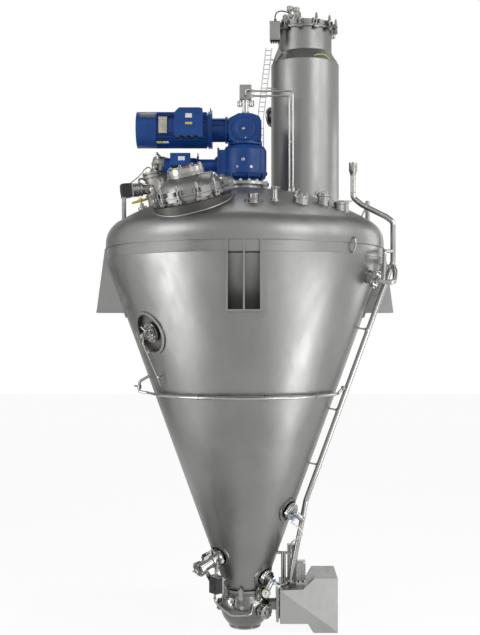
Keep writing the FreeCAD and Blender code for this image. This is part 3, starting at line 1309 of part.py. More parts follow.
def filter_lid():
    foot = TOWER_TOP_Z + TOWER_FLANGE + SEAT_GAP
    top = foot + TOWER_LID
    rim = TOWER_FLANGE_RADIUS
    body = spin([(rim - 30, foot), (rim, foot), (rim, top), (rim - 40, top + TOWER_LID_DISH * 0.4),
                 (0, top + TOWER_LID_DISH), (0, top + TOWER_LID_DISH - 8), (rim - 42, top - 8),
                 (rim - 42, foot + 12), (rim - 30, foot + 12)])
    lugs = []
    for angle in tower_angles():
        lugs += [turned(p, angle) for p in lid_lug(rim, TOWER_BOLT_CIRCLE, foot + 4, top - 4)]
    return on_tower(join(body, *lugs))


def filter_lid_bolts():
    seat = TOWER_TOP_Z + TOWER_FLANGE + TOWER_LID + 4
    bolts = []
    for angle in tower_angles():
        bolts.append(on_tower(turned(swing_bolt(TOWER_BOLT_CIRCLE, TOWER_PIVOT_Z, seat), angle)))
    return bolts


def lid_top_z():
    return TOWER_TOP_Z + TOWER_FLANGE + SEAT_GAP + TOWER_LID


def pulse_valves():
    """Small pneumatic valves standing on the filter lid, with blow pipes below."""
    solids = []
    lid = filter_lid()
    for index, (x, y) in enumerate(PULSE_VALVES):
        base = tower_axis(lid_top_z()) + Vector(x, y, 0)
        rise = 150 - 30 * index
        stem = rod(14, base, base + UP * rise)
        head = rod(30, base + Vector(0, 0, rise - 20), base + Vector(0, 0, rise + 24))
        body = block(base.x - 26, base.x + 26, base.y - 22, base.y + 22, base.z + 40, base.z + 92)
        foot = rod(28, base, base + UP * 26)
        solids.append(trim(join(stem, head, body, foot), lid))
    return solids


def junction_box():
    x0, x1, y0, y1, z0, z1 = JUNCTION_BOX
    box = block(x0, x1, y0, y1, z0, z1)
    sheet = JUNCTION_SHEET
    shell = trim(box, block(x0 + sheet, x1 - sheet, y0 + sheet, y1 - sheet, z0 + sheet, z1 - sheet))
    glands = []
    for index in range(JUNCTION_GLANDS):
        spot = Vector(x0 + 18 + GLAND_STEP * index, (y0 + y1) / 2, z0)
        glands.append(rod(GLAND_RADIUS, spot - UP * 18, spot))
    arm_z = lid_top_z() - 34
    arm = prism([Vector(296, y1, arm_z), Vector(330, y1, arm_z), Vector(372, 356, arm_z),
                 Vector(346, 376, arm_z)], UP * 10)
    arm = trim(arm, rod(TOWER_FLANGE_RADIUS, tower_axis(arm_z - 9), tower_axis(arm_z + 60)))
    return [join(shell, *glands), arm]


def cord_path(points, name):
    """Straight runs with a tangent arc at each point, as large as its runs allow."""
    edges = []
    start = points[0]
    radii = []
    for before, corner, after in zip(points, points[1:], points[2:]):
        back, ahead = before - corner, after - corner
        shorter = min(back.Length, ahead.Length)
        half_turn = (math.pi - back.getAngle(ahead)) / 2
        radius = 0.45 * shorter / math.tan(half_turn)
        radii.append(round(radius, 1))
        back, ahead = back.normalize(), ahead.normalize()
        begin, finish = corner + back * (0.45 * shorter), corner + ahead * (0.45 * shorter)
        middle = (back + ahead).normalize()
        centre = corner + middle * (radius / math.cos(half_turn))
        edges.append(Part.LineSegment(start, begin).toShape())
        edges.append(Part.Arc(begin, centre - middle * radius, finish).toShape())
        start = finish
    edges.append(Part.LineSegment(start, points[-1]).toShape())
    print(name, "radii", radii)
    return Part.Wire(edges)


def cord(points, radius, name):
    path = cord_path(points, name)
    solid = swept(path, points[0], points[1] - points[0], radius).Solids[0]
    section = math.pi * radius ** 2
    share = solid.Volume / section / path.Length
    print(name, "length", round(path.Length, 1), "volume share", round(share, 4))
    return solid


def cable_tray():
    """Ladder tray from the top of the tower down behind the drive."""
    top, bend = TRAY_TOP, TRAY_BEND
    foot = dome_point(bend.x, bend.y)
    half = RIGHT * TRAY_HALF
    solids = []
    rails = [pipe([top + side, bend + side, foot + side], TRAY_RAIL_RADIUS, 60) for side in (-half, half)]
    rungs = []
    for index in range(14):
        share = (index + 0.5) / 14
        spot = top + (bend - top) * (share * 0.94)
        rungs.append(rod(TRAY_RUNG_RADIUS, spot - half, spot + half))
    for index in range(10):
        spot = bend + (foot - bend) * ((index + 1.5) / 11.5)
        rungs.append(rod(TRAY_RUNG_RADIUS, spot - half, spot + half))
    solids.append(trim(join(*rails, *rungs), dome_solid(0, SEAM_Z)))
    for z in TRAY_BRACKETS_Z:
        share = (top.z - z) / (top.z - bend.z)
        spot = top + (bend - top) * share
        target = Vector(TOWER_X, spot.y + 60, z - 30)
        arm = rod(6, spot + Vector(24, 6, 0), target)
        wall = rod(TOWER_CLAD_RADIUS, tower_axis(1800), tower_axis(TOWER_SHOULDER_Z))
        solids.append(trim(arm, wall, on_tower(tower_shoulder()), join(*rails)))
    return solids


# Pipes along the cone

def heat_at(reach, z):
    return polar(reach, HEAT_PIPE_AZIMUTH, z)


def heat_pipe_path():
    off = HEAT_PIPE_OFFSET
    side = CLAD_RADIUS + off - 2
    return [heat_at(1027, 1330), heat_at(1027, 1058), heat_at(1104, 992), heat_at(1330, 874),
            heat_at(side, 826), heat_at(side, 462), heat_at(cone_radius(-1740) + off, -1740),
            heat_at(cone_radius(-1740) + off - 150, -2500)]


def heating_pipe():
    points = heat_pipe_path()
    main = pipe(points, HEAT_PIPE_RADIUS, 60, HEAT_PIPE_WALL)
    top = points[0]
    lap = HEAT_SOCKET_LAP
    sleeve = tube(HEAT_SOCKET_RADIUS, HEAT_PIPE_RADIUS, top - UP * lap, top + UP * (HEAT_SOCKET_LENGTH - lap))
    socket = trim(sleeve, rod(HEAT_SOCKET_RADIUS - HEAT_SOCKET_WALL, top, top + UP * HEAT_SOCKET_LENGTH))
    end = points[-1]
    away = (end - points[-2]).normalize()
    flange = tube(HEAT_PIPE_RADIUS + 20, HEAT_PIPE_RADIUS, end - away * 14, end)
    azimuth, z, radius, _ = STEAM_NOZZLE
    start = cone_point(azimuth, z, -GAP_DEPTH)
    reach = cone_point(azimuth, z, 66)
    nozzle = tube(radius, radius - NOZZLE_WALL, start, reach)
    nozzle = trim(nozzle, spin([(0, 0), (cone_radius(0, JACKET_DEPTH), 0),
                                (cone_radius(SHOULDER_Z, JACKET_DEPTH), SHOULDER_Z), (0, SHOULDER_Z)]))
    cap = rod(radius + 22, reach, cone_point(azimuth, z, 84))
    return [main, socket, flange, nozzle, cap]


def steam_branch():
    """Elbow from the main pipe to the jacket nozzle."""
    azimuth, z, _, _ = STEAM_NOZZLE
    a = cone_point(azimuth, z, 84)
    b = cone_point(azimuth, z, 150)
    target = heat_at(CLAD_RADIUS + HEAT_PIPE_OFFSET - 2, 560)
    c = Vector(b.x + 10, b.y, 540)
    branch = pipe([a, b, c, target], 17, 28)
    return trim(branch, rod(HEAT_PIPE_RADIUS, target - UP * 200, target + UP * 200))


def ring_radius():
    return cone_radius(RING_PIPE_Z) + RING_PIPE_OFFSET


def ring_pipe():
    """Pipe round the front of the cone with a raised left end."""
    radius = ring_radius()
    z = RING_PIPE_Z
    start, finish = polar(radius, -158, z), polar(radius, -22, z)
    first = Vector(start.y, -start.x, 0).normalize()
    last = Vector(-finish.y, finish.x, 0).normalize()
    left = [polar(cone_radius(-592) - 2, -175, -592), Vector(-984, -92, -640), Vector(-988, -112, z + 6),
            start + first * 190, start]
    right = [finish, finish + last * 60, Vector(905, -252, z + 50),
             polar(cone_radius(-675) + HEAT_PIPE_OFFSET, HEAT_PIPE_AZIMUTH, -675)]
    edges = bent_path(left, 24).Edges
    edges.append(Part.Arc(start, polar(radius, -90, z), finish).toShape())
    edges += bent_path(right, 24).Edges
    main = heat_pipe_path()
    solid = swept(Part.Wire(edges), left[0], left[1] - left[0], RING_PIPE_RADIUS).Solids[0]
    return trim(solid, rod(HEAT_PIPE_RADIUS, main[5], main[6]), cone_solid(-1200, 400))


def cone_solid(foot, top, grow=0.0):
    """Everything inside the cone cladding between two heights."""
    return spin([(0, foot), (cone_radius(foot) + grow, foot), (cone_radius(top) + grow, top), (0, top)])


def heating_pipe_struts():
    """Short struts from the cladding to the main pipe."""
    skin = cone_solid(CONE_END_Z, SHOULDER_Z)
    main = heat_pipe_path()
    solids = []
    for z in HEAT_STRUTS_Z:
        reach = cone_radius(z) + HEAT_PIPE_OFFSET
        strut = rod(STRUT_RADIUS, heat_at(reach - 160, z + 30), heat_at(reach, z))
        solids.append(trim(strut, skin, rod(HEAT_PIPE_RADIUS, main[5], main[6])))
    return solids


def ring_pipe_struts():
    """Short struts from the cladding to the ring pipe."""
    skin = cone_solid(CONE_END_Z, SHOULDER_Z)
    hoop = Part.makeTorus(ring_radius(), RING_PIPE_RADIUS, Vector(0, 0, RING_PIPE_Z))
    solids = []
    for azimuth in RING_STRUTS_AZIMUTH:
        outer = polar(ring_radius(), azimuth, RING_PIPE_Z)
        strut = rod(STRUT_RADIUS, polar(ring_radius() - 120, azimuth, RING_PIPE_Z + 30), outer)
        solids.append(trim(strut, skin, hoop))
    return solids


# Nozzles on the cone

def nozzle_pieces(nozzle, reach, flange, bore_wall=NOZZLE_WALL):
    """Welded pipe stub from the vessel wall with a flange at its end."""
    azimuth, z, radius, _ = nozzle
    wall = cone_solid(CONE_END_Z, SHOULDER_Z, -INNER_DEPTH / COS_HALF)
    a, b = cone_point(azimuth, z, -INNER_DEPTH - 30), cone_point(azimuth, z, reach)
    stub = trim(tube(radius, radius - bore_wall, a, b), wall)
    ring = tube(radius + flange, radius, cone_point(azimuth, z, reach - 16), b)
    return join(stub, ring)


def end_cap(nozzle, reach, radius, thick):
    azimuth, z = nozzle[0], nozzle[1]
    return rod(radius, cone_point(azimuth, z, reach), cone_point(azimuth, z, reach + thick))


def probe_nozzles():
    solids = []
    for nozzle in (UPPER_PROBE, LOWER_PROBE):
        azimuth, z, radius, _ = nozzle
        solids.append(nozzle_pieces(nozzle, 40, 18))
        solids.append(end_cap(nozzle, 40, radius + 18, 18))
        tip = cone_point(azimuth, z, 58)
        out = cone_point(azimuth, z, 100)
        arm = Vector(*PROBE_ARMS[z]).normalize()
        solids.append(join(rod(20, tip, out), rod(26, out - arm * 10, out + arm * 82)))
        probe = rod(7, cone_point(azimuth, z, -INNER_DEPTH - 8), cone_point(azimuth, z, 40))
        solids.append(probe)
    return solids


def side_nozzle():
    azimuth, z, radius, _ = SIDE_NOZZLE
    stub = nozzle_pieces(SIDE_NOZZLE, -12, 26)
    cap = end_cap(SIDE_NOZZLE, -12, radius + 26, 16)
    stem = rod(16, cone_point(azimuth, z, 4), cone_point(azimuth, z, 54))
    body = rod(27, cone_point(azimuth, z, 54), cone_point(azimuth, z, 84))
    low = cone_point(azimuth, z, 70)
    drop = cone_point(azimuth - 2, -640, 34)
    riser = trim(pipe([low, low + Vector(-6, -4, -70), drop], 7, 30),
                 Part.makeTorus(ring_radius(), RING_PIPE_RADIUS, Vector(0, 0, RING_PIPE_Z)))
    return [stub, cap, join(stem, body, riser)]


def sample_at(off, side=0.0):
    azimuth, z = SAMPLE_NOZZLE[0], SAMPLE_NOZZLE[1]
    return cone_point(azimuth, z, off) + polar(side, azimuth + 90)


def sample_up():
    """Direction square to the sampling valve, up along the cone."""
    azimuth = SAMPLE_NOZZLE[0]
    return polar(SIN_HALF, azimuth, COS_HALF)


def sampling_valve():
    """Valve body on a short nozzle, with clamp rings, an end cap and a cross bar."""
    stub = nozzle_pieces(SAMPLE_NOZZLE, 10, 26)
    radius = SAMPLE_BODY_RADIUS
    body = tube(radius, SAMPLE_BORE, sample_at(10), sample_at(SAMPLE_REACH))
    rings = [tube(radius + 14, radius, sample_at(off), sample_at(off + 22))
             for off in (26, 96, SAMPLE_REACH - 22)]
    cap = rod(70, sample_at(SAMPLE_REACH), sample_at(SAMPLE_REACH + 20))
    up = sample_up()
    base = sample_at(SAMPLE_STEM_OFF)
    boss = rod(20, base + up * 40, base + up * 78)
    bore = rod(SAMPLE_STEM_RADIUS + RUNNING_FIT, base + up * 44, base + up * 80)
    shell = trim(join(body, *rings), bore)
    boss = trim(boss, rod(radius, sample_at(10), sample_at(SAMPLE_REACH)), bore)
    rod_end = rod(5, sample_at(SAMPLE_REACH + 20), sample_at(SAMPLE_REACH + 64))
    bar = rod(6, sample_at(SAMPLE_REACH + 60, -34), sample_at(SAMPLE_REACH + 60, 34))
    return [stub, join(shell, boss), cap, join(rod_end, bar)]


def sample_terminal_box():
    """Terminal box below the sampling valve, on an arm and a strip."""
    azimuth = SAMPLE_NOZZLE[0]
    z = SAMPLE_NOZZLE[1] - SAMPLE_BOX_DROP
    centre = cone_point(azimuth, z, 128)
    box = placed(block(-70, 70, -50, 50, -45, 45), centre, polar(1, azimuth), UP)
    arm = rod(12, cone_point(azimuth, z, -20), cone_point(azimuth, z, 60))
    arm = trim(arm, cone_solid(CONE_END_Z, SHOULDER_Z), box)
    strip = rod(10, sample_at(70) - sample_up() * 30, centre + UP * 10)
    strip = trim(strip, box, rod(SAMPLE_BODY_RADIUS, sample_at(10), sample_at(SAMPLE_REACH)))
    return [box, arm, strip]


def sampling_lever():
    """Stem and hand lever of the sampling valve, with a round grip."""
    up = sample_up()
    base = sample_at(SAMPLE_STEM_OFF)
    stem = rod(SAMPLE_STEM_RADIUS, base + up * 54, base + up * 96)
    end = base + up * 92 + (sample_at(200) - sample_at(0)).normalize() * 120
    arm = rod(6, base + up * 92, end)
    grip = rod(10, base + up * 92 + (end - base - up * 92) * 0.55, end)
    return join(stem, arm, grip)


# Head fittings

def head_fittings():
    solids = []
    shell = dome_solid(WALL_DEPTH, SEAM_Z)
    for x, y, radius, rise in HEAD_NOZZLES.values():
        base, normal = dome_point(x, y), dome_normal(x, y)
        top = base + normal * rise
        stub = trim(tube(radius, radius - NOZZLE_WALL, base - normal * 100, top), shell)
        rim = tube(radius + 14, radius, top - normal * 14, top)
        cap = rod(radius + 14, top, top + normal * 12)
        solids += [join(stub, rim), cap]
    post = HEAD_POST_RADIUS
    for x, top in HEAD_POSTS:
        column = tube(post, post - HEAD_POST_WALL, Vector(x, 0, 700), Vector(x, 0, top))
        solids.append(trim(column, dome_solid(0, SEAM_Z)))
    return solids


def inlet_valve():
    """Charging nozzle with a flanged cap, a side valve and a square actuator."""
    base, top = inlet_at(-120), inlet_at(INLET_TOP_RISE)
    axis = (top - base).normalize()
    drum = trim(tube(INLET_RADIUS, INLET_RADIUS - NOZZLE_WALL, base, top), dome_solid(WALL_DEPTH, SEAM_Z))
    rims = [tube(INLET_RADIUS + 16, INLET_RADIUS, inlet_at(rise), inlet_at(rise + 18)) for rise in (120, 296)]
    cap = rod(INLET_RADIUS + 16, top, top + axis * 18)
    side = inlet_at(200)
    left = Vector(-1, -0.25, -0.12).normalize()
    reach = INLET_RADIUS + 40
    drum_cut = rod(INLET_RADIUS, inlet_at(-100), top)
    neck = trim(rod(52, side, side + left * reach), drum_cut)
    body = rod(60, side + left * reach, side + left * (reach + 60))
    stem = rod(22, side + left * (reach + 60), side + left * (reach + 96))
    square = placed(block(-58, 58, -58, 58, 0, 96), side + left * (reach + 96), left, UP)
    loop = trim(pipe([side + Vector(0, 0, 50), side + Vector(-128, -34, 88), side + Vector(-166, -42, 86),
                      side + left * (reach + 28)], 11, 20), drum_cut, *rims, body, neck)
    return [join(drum, *rims), cap, neck, body, join(stem, square), loop]


def wheel_axis():
    return (dome_normal(*WHEEL_POS) + UP * 0.6).normalize()


def wheel_at(rise):
    return dome_point(*WHEEL_POS) + wheel_axis() * rise


def wheel_valve():
    """Bonnet of the hand valve, with a bore for its stem."""
    bonnet = join(rod(34, wheel_at(-40), wheel_at(20)), rod(20, wheel_at(15), wheel_at(46)))
    bore = rod(WHEEL_STEM_RADIUS + RUNNING_FIT, wheel_at(4), wheel_at(60))
    return trim(bonnet, dome_solid(0, SEAM_Z), bore)


def hand_wheel():
    hub = wheel_at(WHEEL_RISE)
    axis = wheel_axis()
    ring = placed(Part.makeTorus(WHEEL_RADIUS, WHEEL_BAR), hub, axis)
    spokes = []
    for index in range(WHEEL_SPOKES):
        spoke = rod(6, ORIGIN, polar(WHEEL_RADIUS, 360 / WHEEL_SPOKES * index + 30))
        spokes.append(placed(spoke, hub, axis))
    centre = rod(16, hub - axis * 12, hub + axis * 14)
    stem = rod(WHEEL_STEM_RADIUS, wheel_at(6), hub)
    return join(ring, centre, stem, *spokes)


# Discharge valve and its actuator

def ball(radius):
    return Part.makeSphere(radius, BALL_CENTRE)


def discharge_body():
    """Spherical body with a top flange, a spout and bearing bosses."""
    joint_z = OUTLET_FLANGE_Z - OUTLET_FLANGE
    inner = BALL_BODY_RADIUS - BALL_BODY_WALL
    flange = rod(OUTLET_FLANGE_RADIUS, Vector(0, 0, joint_z - OUTLET_FLANGE), Vector(0, 0, joint_z))
    spout_r = OUTLET_RADIUS + SPOUT_WALL
    spout = rod(spout_r, Vector(0, 0, SPOUT_Z), Vector(0, 0, SPOUT_Z + 44))
    left = rod(BALL_BOSS_RADIUS, Vector(-BALL_BODY_RADIUS - 26, 0, BALL_Z), BALL_CENTRE)
    right = rod(BALL_BOSS_RADIUS, BALL_CENTRE, Vector(LINK_PLATE_X, 0, BALL_Z))
    reach = BALL_BODY_RADIUS + 1
    above = block(-reach, reach, -reach, reach, joint_z, joint_z + reach)
    below = block(-reach, reach, -reach, reach, SPOUT_Z - reach, SPOUT_Z)
    sphere = trim(ball(BALL_BODY_RADIUS), above, below)
    body = trim(join(sphere, flange, spout, left, right), ball(inner).common(
        block(-reach, reach, -reach, reach, SPOUT_Z + BALL_BODY_WALL, joint_z)))
    bore = long_rod(OUTLET_RADIUS, Vector(0, 0, SPOUT_Z), Vector(0, 0, joint_z))
    stem = rod(BALL_STEM_RADIUS + RUNNING_FIT, Vector(-BALL_BODY_RADIUS - 8, 0, BALL_Z),
               Vector(LINK_PLATE_X + 1, 0, BALL_Z))
    return trim(body, bore, stem)


def discharge_ball():
    """Spherical cap on two arms that turns about the stem."""
    outer = BALL_RADIUS
    inner = outer - BALL_WALL
    shell = ball(outer).cut(ball(inner))
    angle = math.radians(BALL_CAP_ANGLE)
    reach = outer + 10
    cone = Part.makeCone(0, reach * math.tan(angle), reach, BALL_CENTRE, UP)
    half = BALL_ARM_WIDTH / 2
    strap = block(-reach, reach, -half, half, BALL_Z - half, BALL_Z + reach)
    cap = join(shell.common(cone), shell.common(strap))
    left = rod(BALL_STEM_RADIUS, Vector(-BALL_BODY_RADIUS - 6, 0, BALL_Z), Vector(-inner + 2, 0, BALL_Z))
    right = rod(BALL_STEM_RADIUS, Vector(inner - 2, 0, BALL_Z), Vector(ACTUATOR_X + 60, 0, BALL_Z))
    return join(cap, left, right)


def outlet_clamps():
    """Clamp bars over the outlet flanges, between the vessel and the valve."""
    foot = OUTLET_FLANGE_Z - 2 * OUTLET_FLANGE
    top = OUTLET_FLANGE_Z
    radius = OUTLET_FLANGE_RADIUS
    clamps = []
    for index in range(CLAMP_COUNT):
        bar = block(radius - 22, radius + 30, -17, 17, foot - 22, top + 14)
        jaw = block(0, radius + 1, -40, 40, foot, top)
        low = rod(radius + 0.5, Vector(0, 0, foot - 0.5), Vector(0, 0, top + 0.5))
        clamp = trim(bar, jaw, low, ball(BALL_BODY_RADIUS + 1), cone_solid(CONE_END_Z, -2000, 2))
        bolt = rod(9, Vector(radius + 21, 0, foot - 23.5), Vector(radius + 21, 0, top + 30))
        clamps.append(turned(join(clamp, bolt), 360 / CLAMP_COUNT * index + CLAMP_START))
    return clamps


def actuator_box():
    """Folded sheet enclosure, open on the side of the valve stem."""
    front = -ACTUATOR_DEPTH / 2

    def outline(inset):
        y = front + inset
        return [Vector(ACTUATOR_X + inset, y, ACTUATOR_FLOOR_Z + inset),
                Vector(ACTUATOR_STEP_X + inset, y, ACTUATOR_FLOOR_Z + inset),
                Vector(ACTUATOR_STEP_X + 50 + inset, y, SPOUT_Z + inset),
                Vector(ACTUATOR_END_X - inset, y, SPOUT_Z + inset),
                Vector(ACTUATOR_END_X - inset, y, ACTUATOR_TOP_Z - inset),
                Vector(ACTUATOR_REAR_X + inset, y, ACTUATOR_TOP_Z - inset),
                Vector(ACTUATOR_STEP_X, y, ACTUATOR_STEP_Z - inset),
                Vector(ACTUATOR_X + inset, y, ACTUATOR_STEP_Z - inset - 8)]

    case = prism(outline(0), Vector(0, ACTUATOR_DEPTH, 0))
    room = prism(outline(SHEET), Vector(0, ACTUATOR_DEPTH - 2 * SHEET, 0))
    opening = rod(BALL_BOSS_RADIUS + 20, Vector(ACTUATOR_X - 1, 0, BALL_Z), Vector(ACTUATOR_X + 8, 0, BALL_Z))
    plate_end = LINK_PLATE_X + LINK_PLATE
    stem_hole = rod(BALL_STEM_RADIUS + 4, Vector(LINK_PLATE_X - 1, 0, BALL_Z), Vector(ACTUATOR_X, 0, BALL_Z))
    link = trim(block(LINK_PLATE_X, plate_end, -150, 150, BALL_Z - 130, BALL_Z + 170), stem_hole)
    tie = block(plate_end, ACTUATOR_X, -120, 120, BALL_Z + 90, BALL_Z + 120)
    low = block(plate_end, ACTUATOR_X, -120, 120, BALL_Z - 105, BALL_Z - 85)
    drive = block(ACTUATOR_X + 40, ACTUATOR_X + 130, -190, 190, BALL_Z - 55, BALL_Z + 55)
    drive = trim(drive, rod(BALL_STEM_RADIUS + RUNNING_FIT, Vector(ACTUATOR_X, 0, BALL_Z),
                            Vector(ACTUATOR_X + 62, 0, BALL_Z)))
    seat = block(ACTUATOR_X + 60, ACTUATOR_X + 110, -60, 60, ACTUATOR_FLOOR_Z + SHEET, BALL_Z - 55)
    return [trim(case, room, opening), join(link, tie, low), drive, seat]


def instrument_rail():
    """Upright channel and a finned valve block above the actuator box."""
    foot = ACTUATOR_STEP_Z
    x, y = RAIL_POS
    right = x + RAIL_WIDTH
    low, high = y - RAIL_HALF_DEPTH, y + RAIL_HALF_DEPTH
    bar = block(x, right, low, high, foot, RAIL_TOP_Z)
    channel = trim(bar, block(x + 5, right - 5, low - 1, high - 6, foot - 1, RAIL_TOP_Z + 9))
    arm = trim(rod(14, Vector(x + 20, y, -2260), Vector(0, y, -2240)),
               cone_solid(CONE_END_Z, SHOULDER_Z), bar)
    core = block(right, right + 66, low, high, foot + 30, RAIL_TOP_Z - 166)
    fins = [block(right + 66, right + 88, low, high, foot + 40 + 26 * i, foot + 52 + 26 * i)
            for i in range(RAIL_FINS)]
    return [channel, arm, join(core, *fins)]


def valve_trim():
    """Side port with its cap and a purge line round the discharge valve."""
    solids = []
    out = Vector(0.66, -0.62, -0.42).normalize()
    start = BALL_CENTRE + out * (BALL_BODY_RADIUS - 20)
    port = trim(join(rod(46, start, start + out * 90), rod(66, start + out * 44, start + out * 58)),
                ball(BALL_BODY_RADIUS))
    solids.append(port)
    solids.append(rod(64, start + out * 90, start + out * 118))
    line_points = [Vector(-270, -240, -2577.5), Vector(-276, -245, -2664), Vector(-118, -300, -2762),
                   Vector(44, -300, -2770), Vector(80, -220, -2700), Vector(60, -150, -2690)]
    purge = trim(pipe(line_points, 8, 18), ball(BALL_BODY_RADIUS))
    solids.append(purge)
    return solids


def main():
    os.makedirs("parts", exist_ok=True)
    save("vessel_cone", vessel_cone())
    save("vessel_head", vessel_head())
    save("heating_jacket", heating_jacket())
    save("insulation", *insulation())
    save("cone_cladding", *cone_cladding())
    save("head_cladding", head_cladding())
    save("support_frame", *support_frame())
    save("orbit_arm", orbit_arm())
    save("central_shaft", *central_shaft())
    save("arm_shaft", *arm_shaft())
    save("screw", *screw())
    save("drive_pedestal", *drive_pedestal())
    save("orbit_gearbox", lower_gearbox())
    save("screw_gearbox", upper_gearbox())
    save("screw_motor", *big_motor())
    save("screw_motor_fan_cover", big_fan_cover())
    save("screw_motor_lantern", big_lantern())
    save("screw_motor_rotor", *rotor(BIG_MOTOR_Z, BIG_SHAFT_RADIUS, BIG_ROTOR_RADIUS, BIG_CORE_X,
                                     BIG_FAN_RADIUS, BIG_MOTOR_FAN_X - 90, BIG_MOTOR_FAN_X - 110,
                                     BIG_SHAFT_END_X))
    save("orbit_motor", *small_motor())
    save("orbit_motor_rotor", *rotor(SMALL_MOTOR_Z, SMALL_SHAFT_RADIUS, SMALL_ROTOR_RADIUS, SMALL_CORE_X,
                                     SMALL_FAN_RADIUS, SMALL_MOTOR_FAN_X - 48, SMALL_MOTOR_FAN_X - 50,
                                     SMALL_SHAFT_END_X))
    save("rotary_union", rotary_union())
    save("gas_pipes", *gas_pipes())
    save("manway_neck", *manway_neck())
    save("manway_lid", *manway_lid())
    save("sight_glass", *sight_glass())
    manway_bolts()
    save("filter_shell", *filter_shell())
    save("filter_cladding", *filter_cladding())
    save("filter_tube_sheet", *filter_tube_sheet())
    save("filter_bags", *filter_bags())
    save("filter_lid", filter_lid())
    save("filter_lid_bolts", *filter_lid_bolts())
    save("pulse_valves", *pulse_valves())
    save("junction_box", *junction_box())
    save("air_hose", cord(HOSE_POINTS, HOSE_RADIUS, "air_hose"))
    save("earth_wire", cord(WIRE_POINTS, WIRE_RADIUS, "earth_wire"))
    save("cable_tray", *cable_tray())
    save("heating_pipe", *heating_pipe(), steam_branch(), *heating_pipe_struts())
    save("ring_pipe", ring_pipe(), *ring_pipe_struts())
    save("probe_nozzles", *probe_nozzles())
    save("side_nozzle", *side_nozzle())
    save("sampling_valve", *sampling_valve(), *sample_terminal_box())
    save("sampling_lever", sampling_lever())
    save("head_fittings", *head_fittings())
    save("inlet_valve", *inlet_valve(), wheel_valve())
    save("hand_wheel", hand_wheel())
    save("discharge_body", discharge_body())
    save("discharge_ball", discharge_ball())
    save("outlet_clamps", *outlet_clamps())
    save("actuator_box", *actuator_box(), *instrument_rail())
    save("valve_trim", *valve_trim())


main()
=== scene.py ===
from contextlib import contextmanager
from math import cos, hypot, pi, radians, sin, sqrt, tan

import bmesh
import bpy
from mathutils import Matrix, Vector


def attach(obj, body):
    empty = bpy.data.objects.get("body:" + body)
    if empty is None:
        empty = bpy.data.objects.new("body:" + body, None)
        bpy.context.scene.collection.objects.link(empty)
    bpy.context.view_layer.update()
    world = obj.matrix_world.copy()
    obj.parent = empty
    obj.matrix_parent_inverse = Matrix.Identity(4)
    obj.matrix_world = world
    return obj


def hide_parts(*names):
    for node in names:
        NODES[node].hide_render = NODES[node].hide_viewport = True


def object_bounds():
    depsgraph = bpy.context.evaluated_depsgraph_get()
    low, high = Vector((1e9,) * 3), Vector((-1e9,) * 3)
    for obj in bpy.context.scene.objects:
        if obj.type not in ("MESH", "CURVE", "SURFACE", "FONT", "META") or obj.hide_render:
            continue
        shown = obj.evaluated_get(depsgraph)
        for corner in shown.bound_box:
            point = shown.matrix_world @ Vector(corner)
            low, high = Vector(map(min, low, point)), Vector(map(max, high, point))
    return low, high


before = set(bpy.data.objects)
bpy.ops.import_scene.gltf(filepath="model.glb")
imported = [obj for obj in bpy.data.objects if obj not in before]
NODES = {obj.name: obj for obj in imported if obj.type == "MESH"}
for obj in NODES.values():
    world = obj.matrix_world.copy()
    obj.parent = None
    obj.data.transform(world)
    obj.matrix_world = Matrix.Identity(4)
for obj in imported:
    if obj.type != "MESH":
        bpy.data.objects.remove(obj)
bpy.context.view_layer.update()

MM = 0.001
SHARP_ANGLE, BEVEL_ANGLE = 35, 40
UP, DOWN = Vector((0, 0, 1)), Vector((0, 0, -1))
FRONT, LEFT, RIGHT = Vector((0, -1, 0)), Vector((-1, 0, 0)), Vector((1, 0, 0))

# Camera, from the photograph: 480 by 635 pixels, vanishing point and focal length in pixels
PHOTO_HEIGHT = 635.0
FOCAL_PIXELS = 1000.0
CENTRE_PIXEL = (240.0, 317.5)
AXIS_PIXEL = (251.35, 321.0)
CAMERA_POS = Vector((0.060, -9.442, -0.0755))
SENSOR = 36.0

# Free cords, the same points as in the part's source, in metres
HOSE_POINTS = [(0.288, 0.286, 2.8303), (0.288, 0.286, 2.884), (0.306, 0.303, 2.932),
               (0.346, 0.330, 2.956), (0.394, 0.363, 2.958), (0.4316, 0.3980, 2.958)]
HOSE_DIAMETER = 0.012
WIRE_POINTS = [(0.6699, 0.1866, 2.4845), (0.7103, 0.1919, 2.497), (0.7583, 0.200, 2.498),
               (0.7996, 0.2245, 2.483), (0.8265, 0.2572, 2.453)]
WIRE_DIAMETER = 0.008

# Geometry of the vessel, the same values as in the part's source, in millimetres
HALF_ANGLE = radians(19.87)
CLAD_RADIUS, SHOULDER_Z, SEAM_Z = 1300.0, 496.0, 596.0
KNUCKLE_Z, KNUCKLE_RADIUS, CROWN_RADIUS = 640.0, 230.0, 2300.0
CROWN_Z = KNUCKLE_Z - sqrt((CROWN_RADIUS - KNUCKLE_RADIUS) ** 2 - (CLAD_RADIUS - KNUCKLE_RADIUS) ** 2)
MANWAY_POS = (-464.0, -825.0, 1032.0)
MANWAY_AXIS = (-0.206, -0.220, 0.9535)
TOWER = (592.0, 500.0)
BIG_MOTOR_Z = 1725.0
SMALL_MOTOR_Z = 1391.0
BALL = Vector((0.0, 0.0, -2745.0))
NOZZLES = {"side": (-142.0, -182.0), "upper": (-32.0, -1810.0), "lower": (-42.0, -2440.0),
           "sample": (-138.0, -2238.0), "steam": (-27.0, 318.0)}
HEAD_NOZZLES = [(80, -1000, 44), (259, -930, 36), (487, -850, 66), (690, -692, 50), (839, -640, 47)]
INLET_POS = (-822.0, 200.0)
INLET_LEAN = Vector((-0.16, 0.02, 0.98)).normalized()

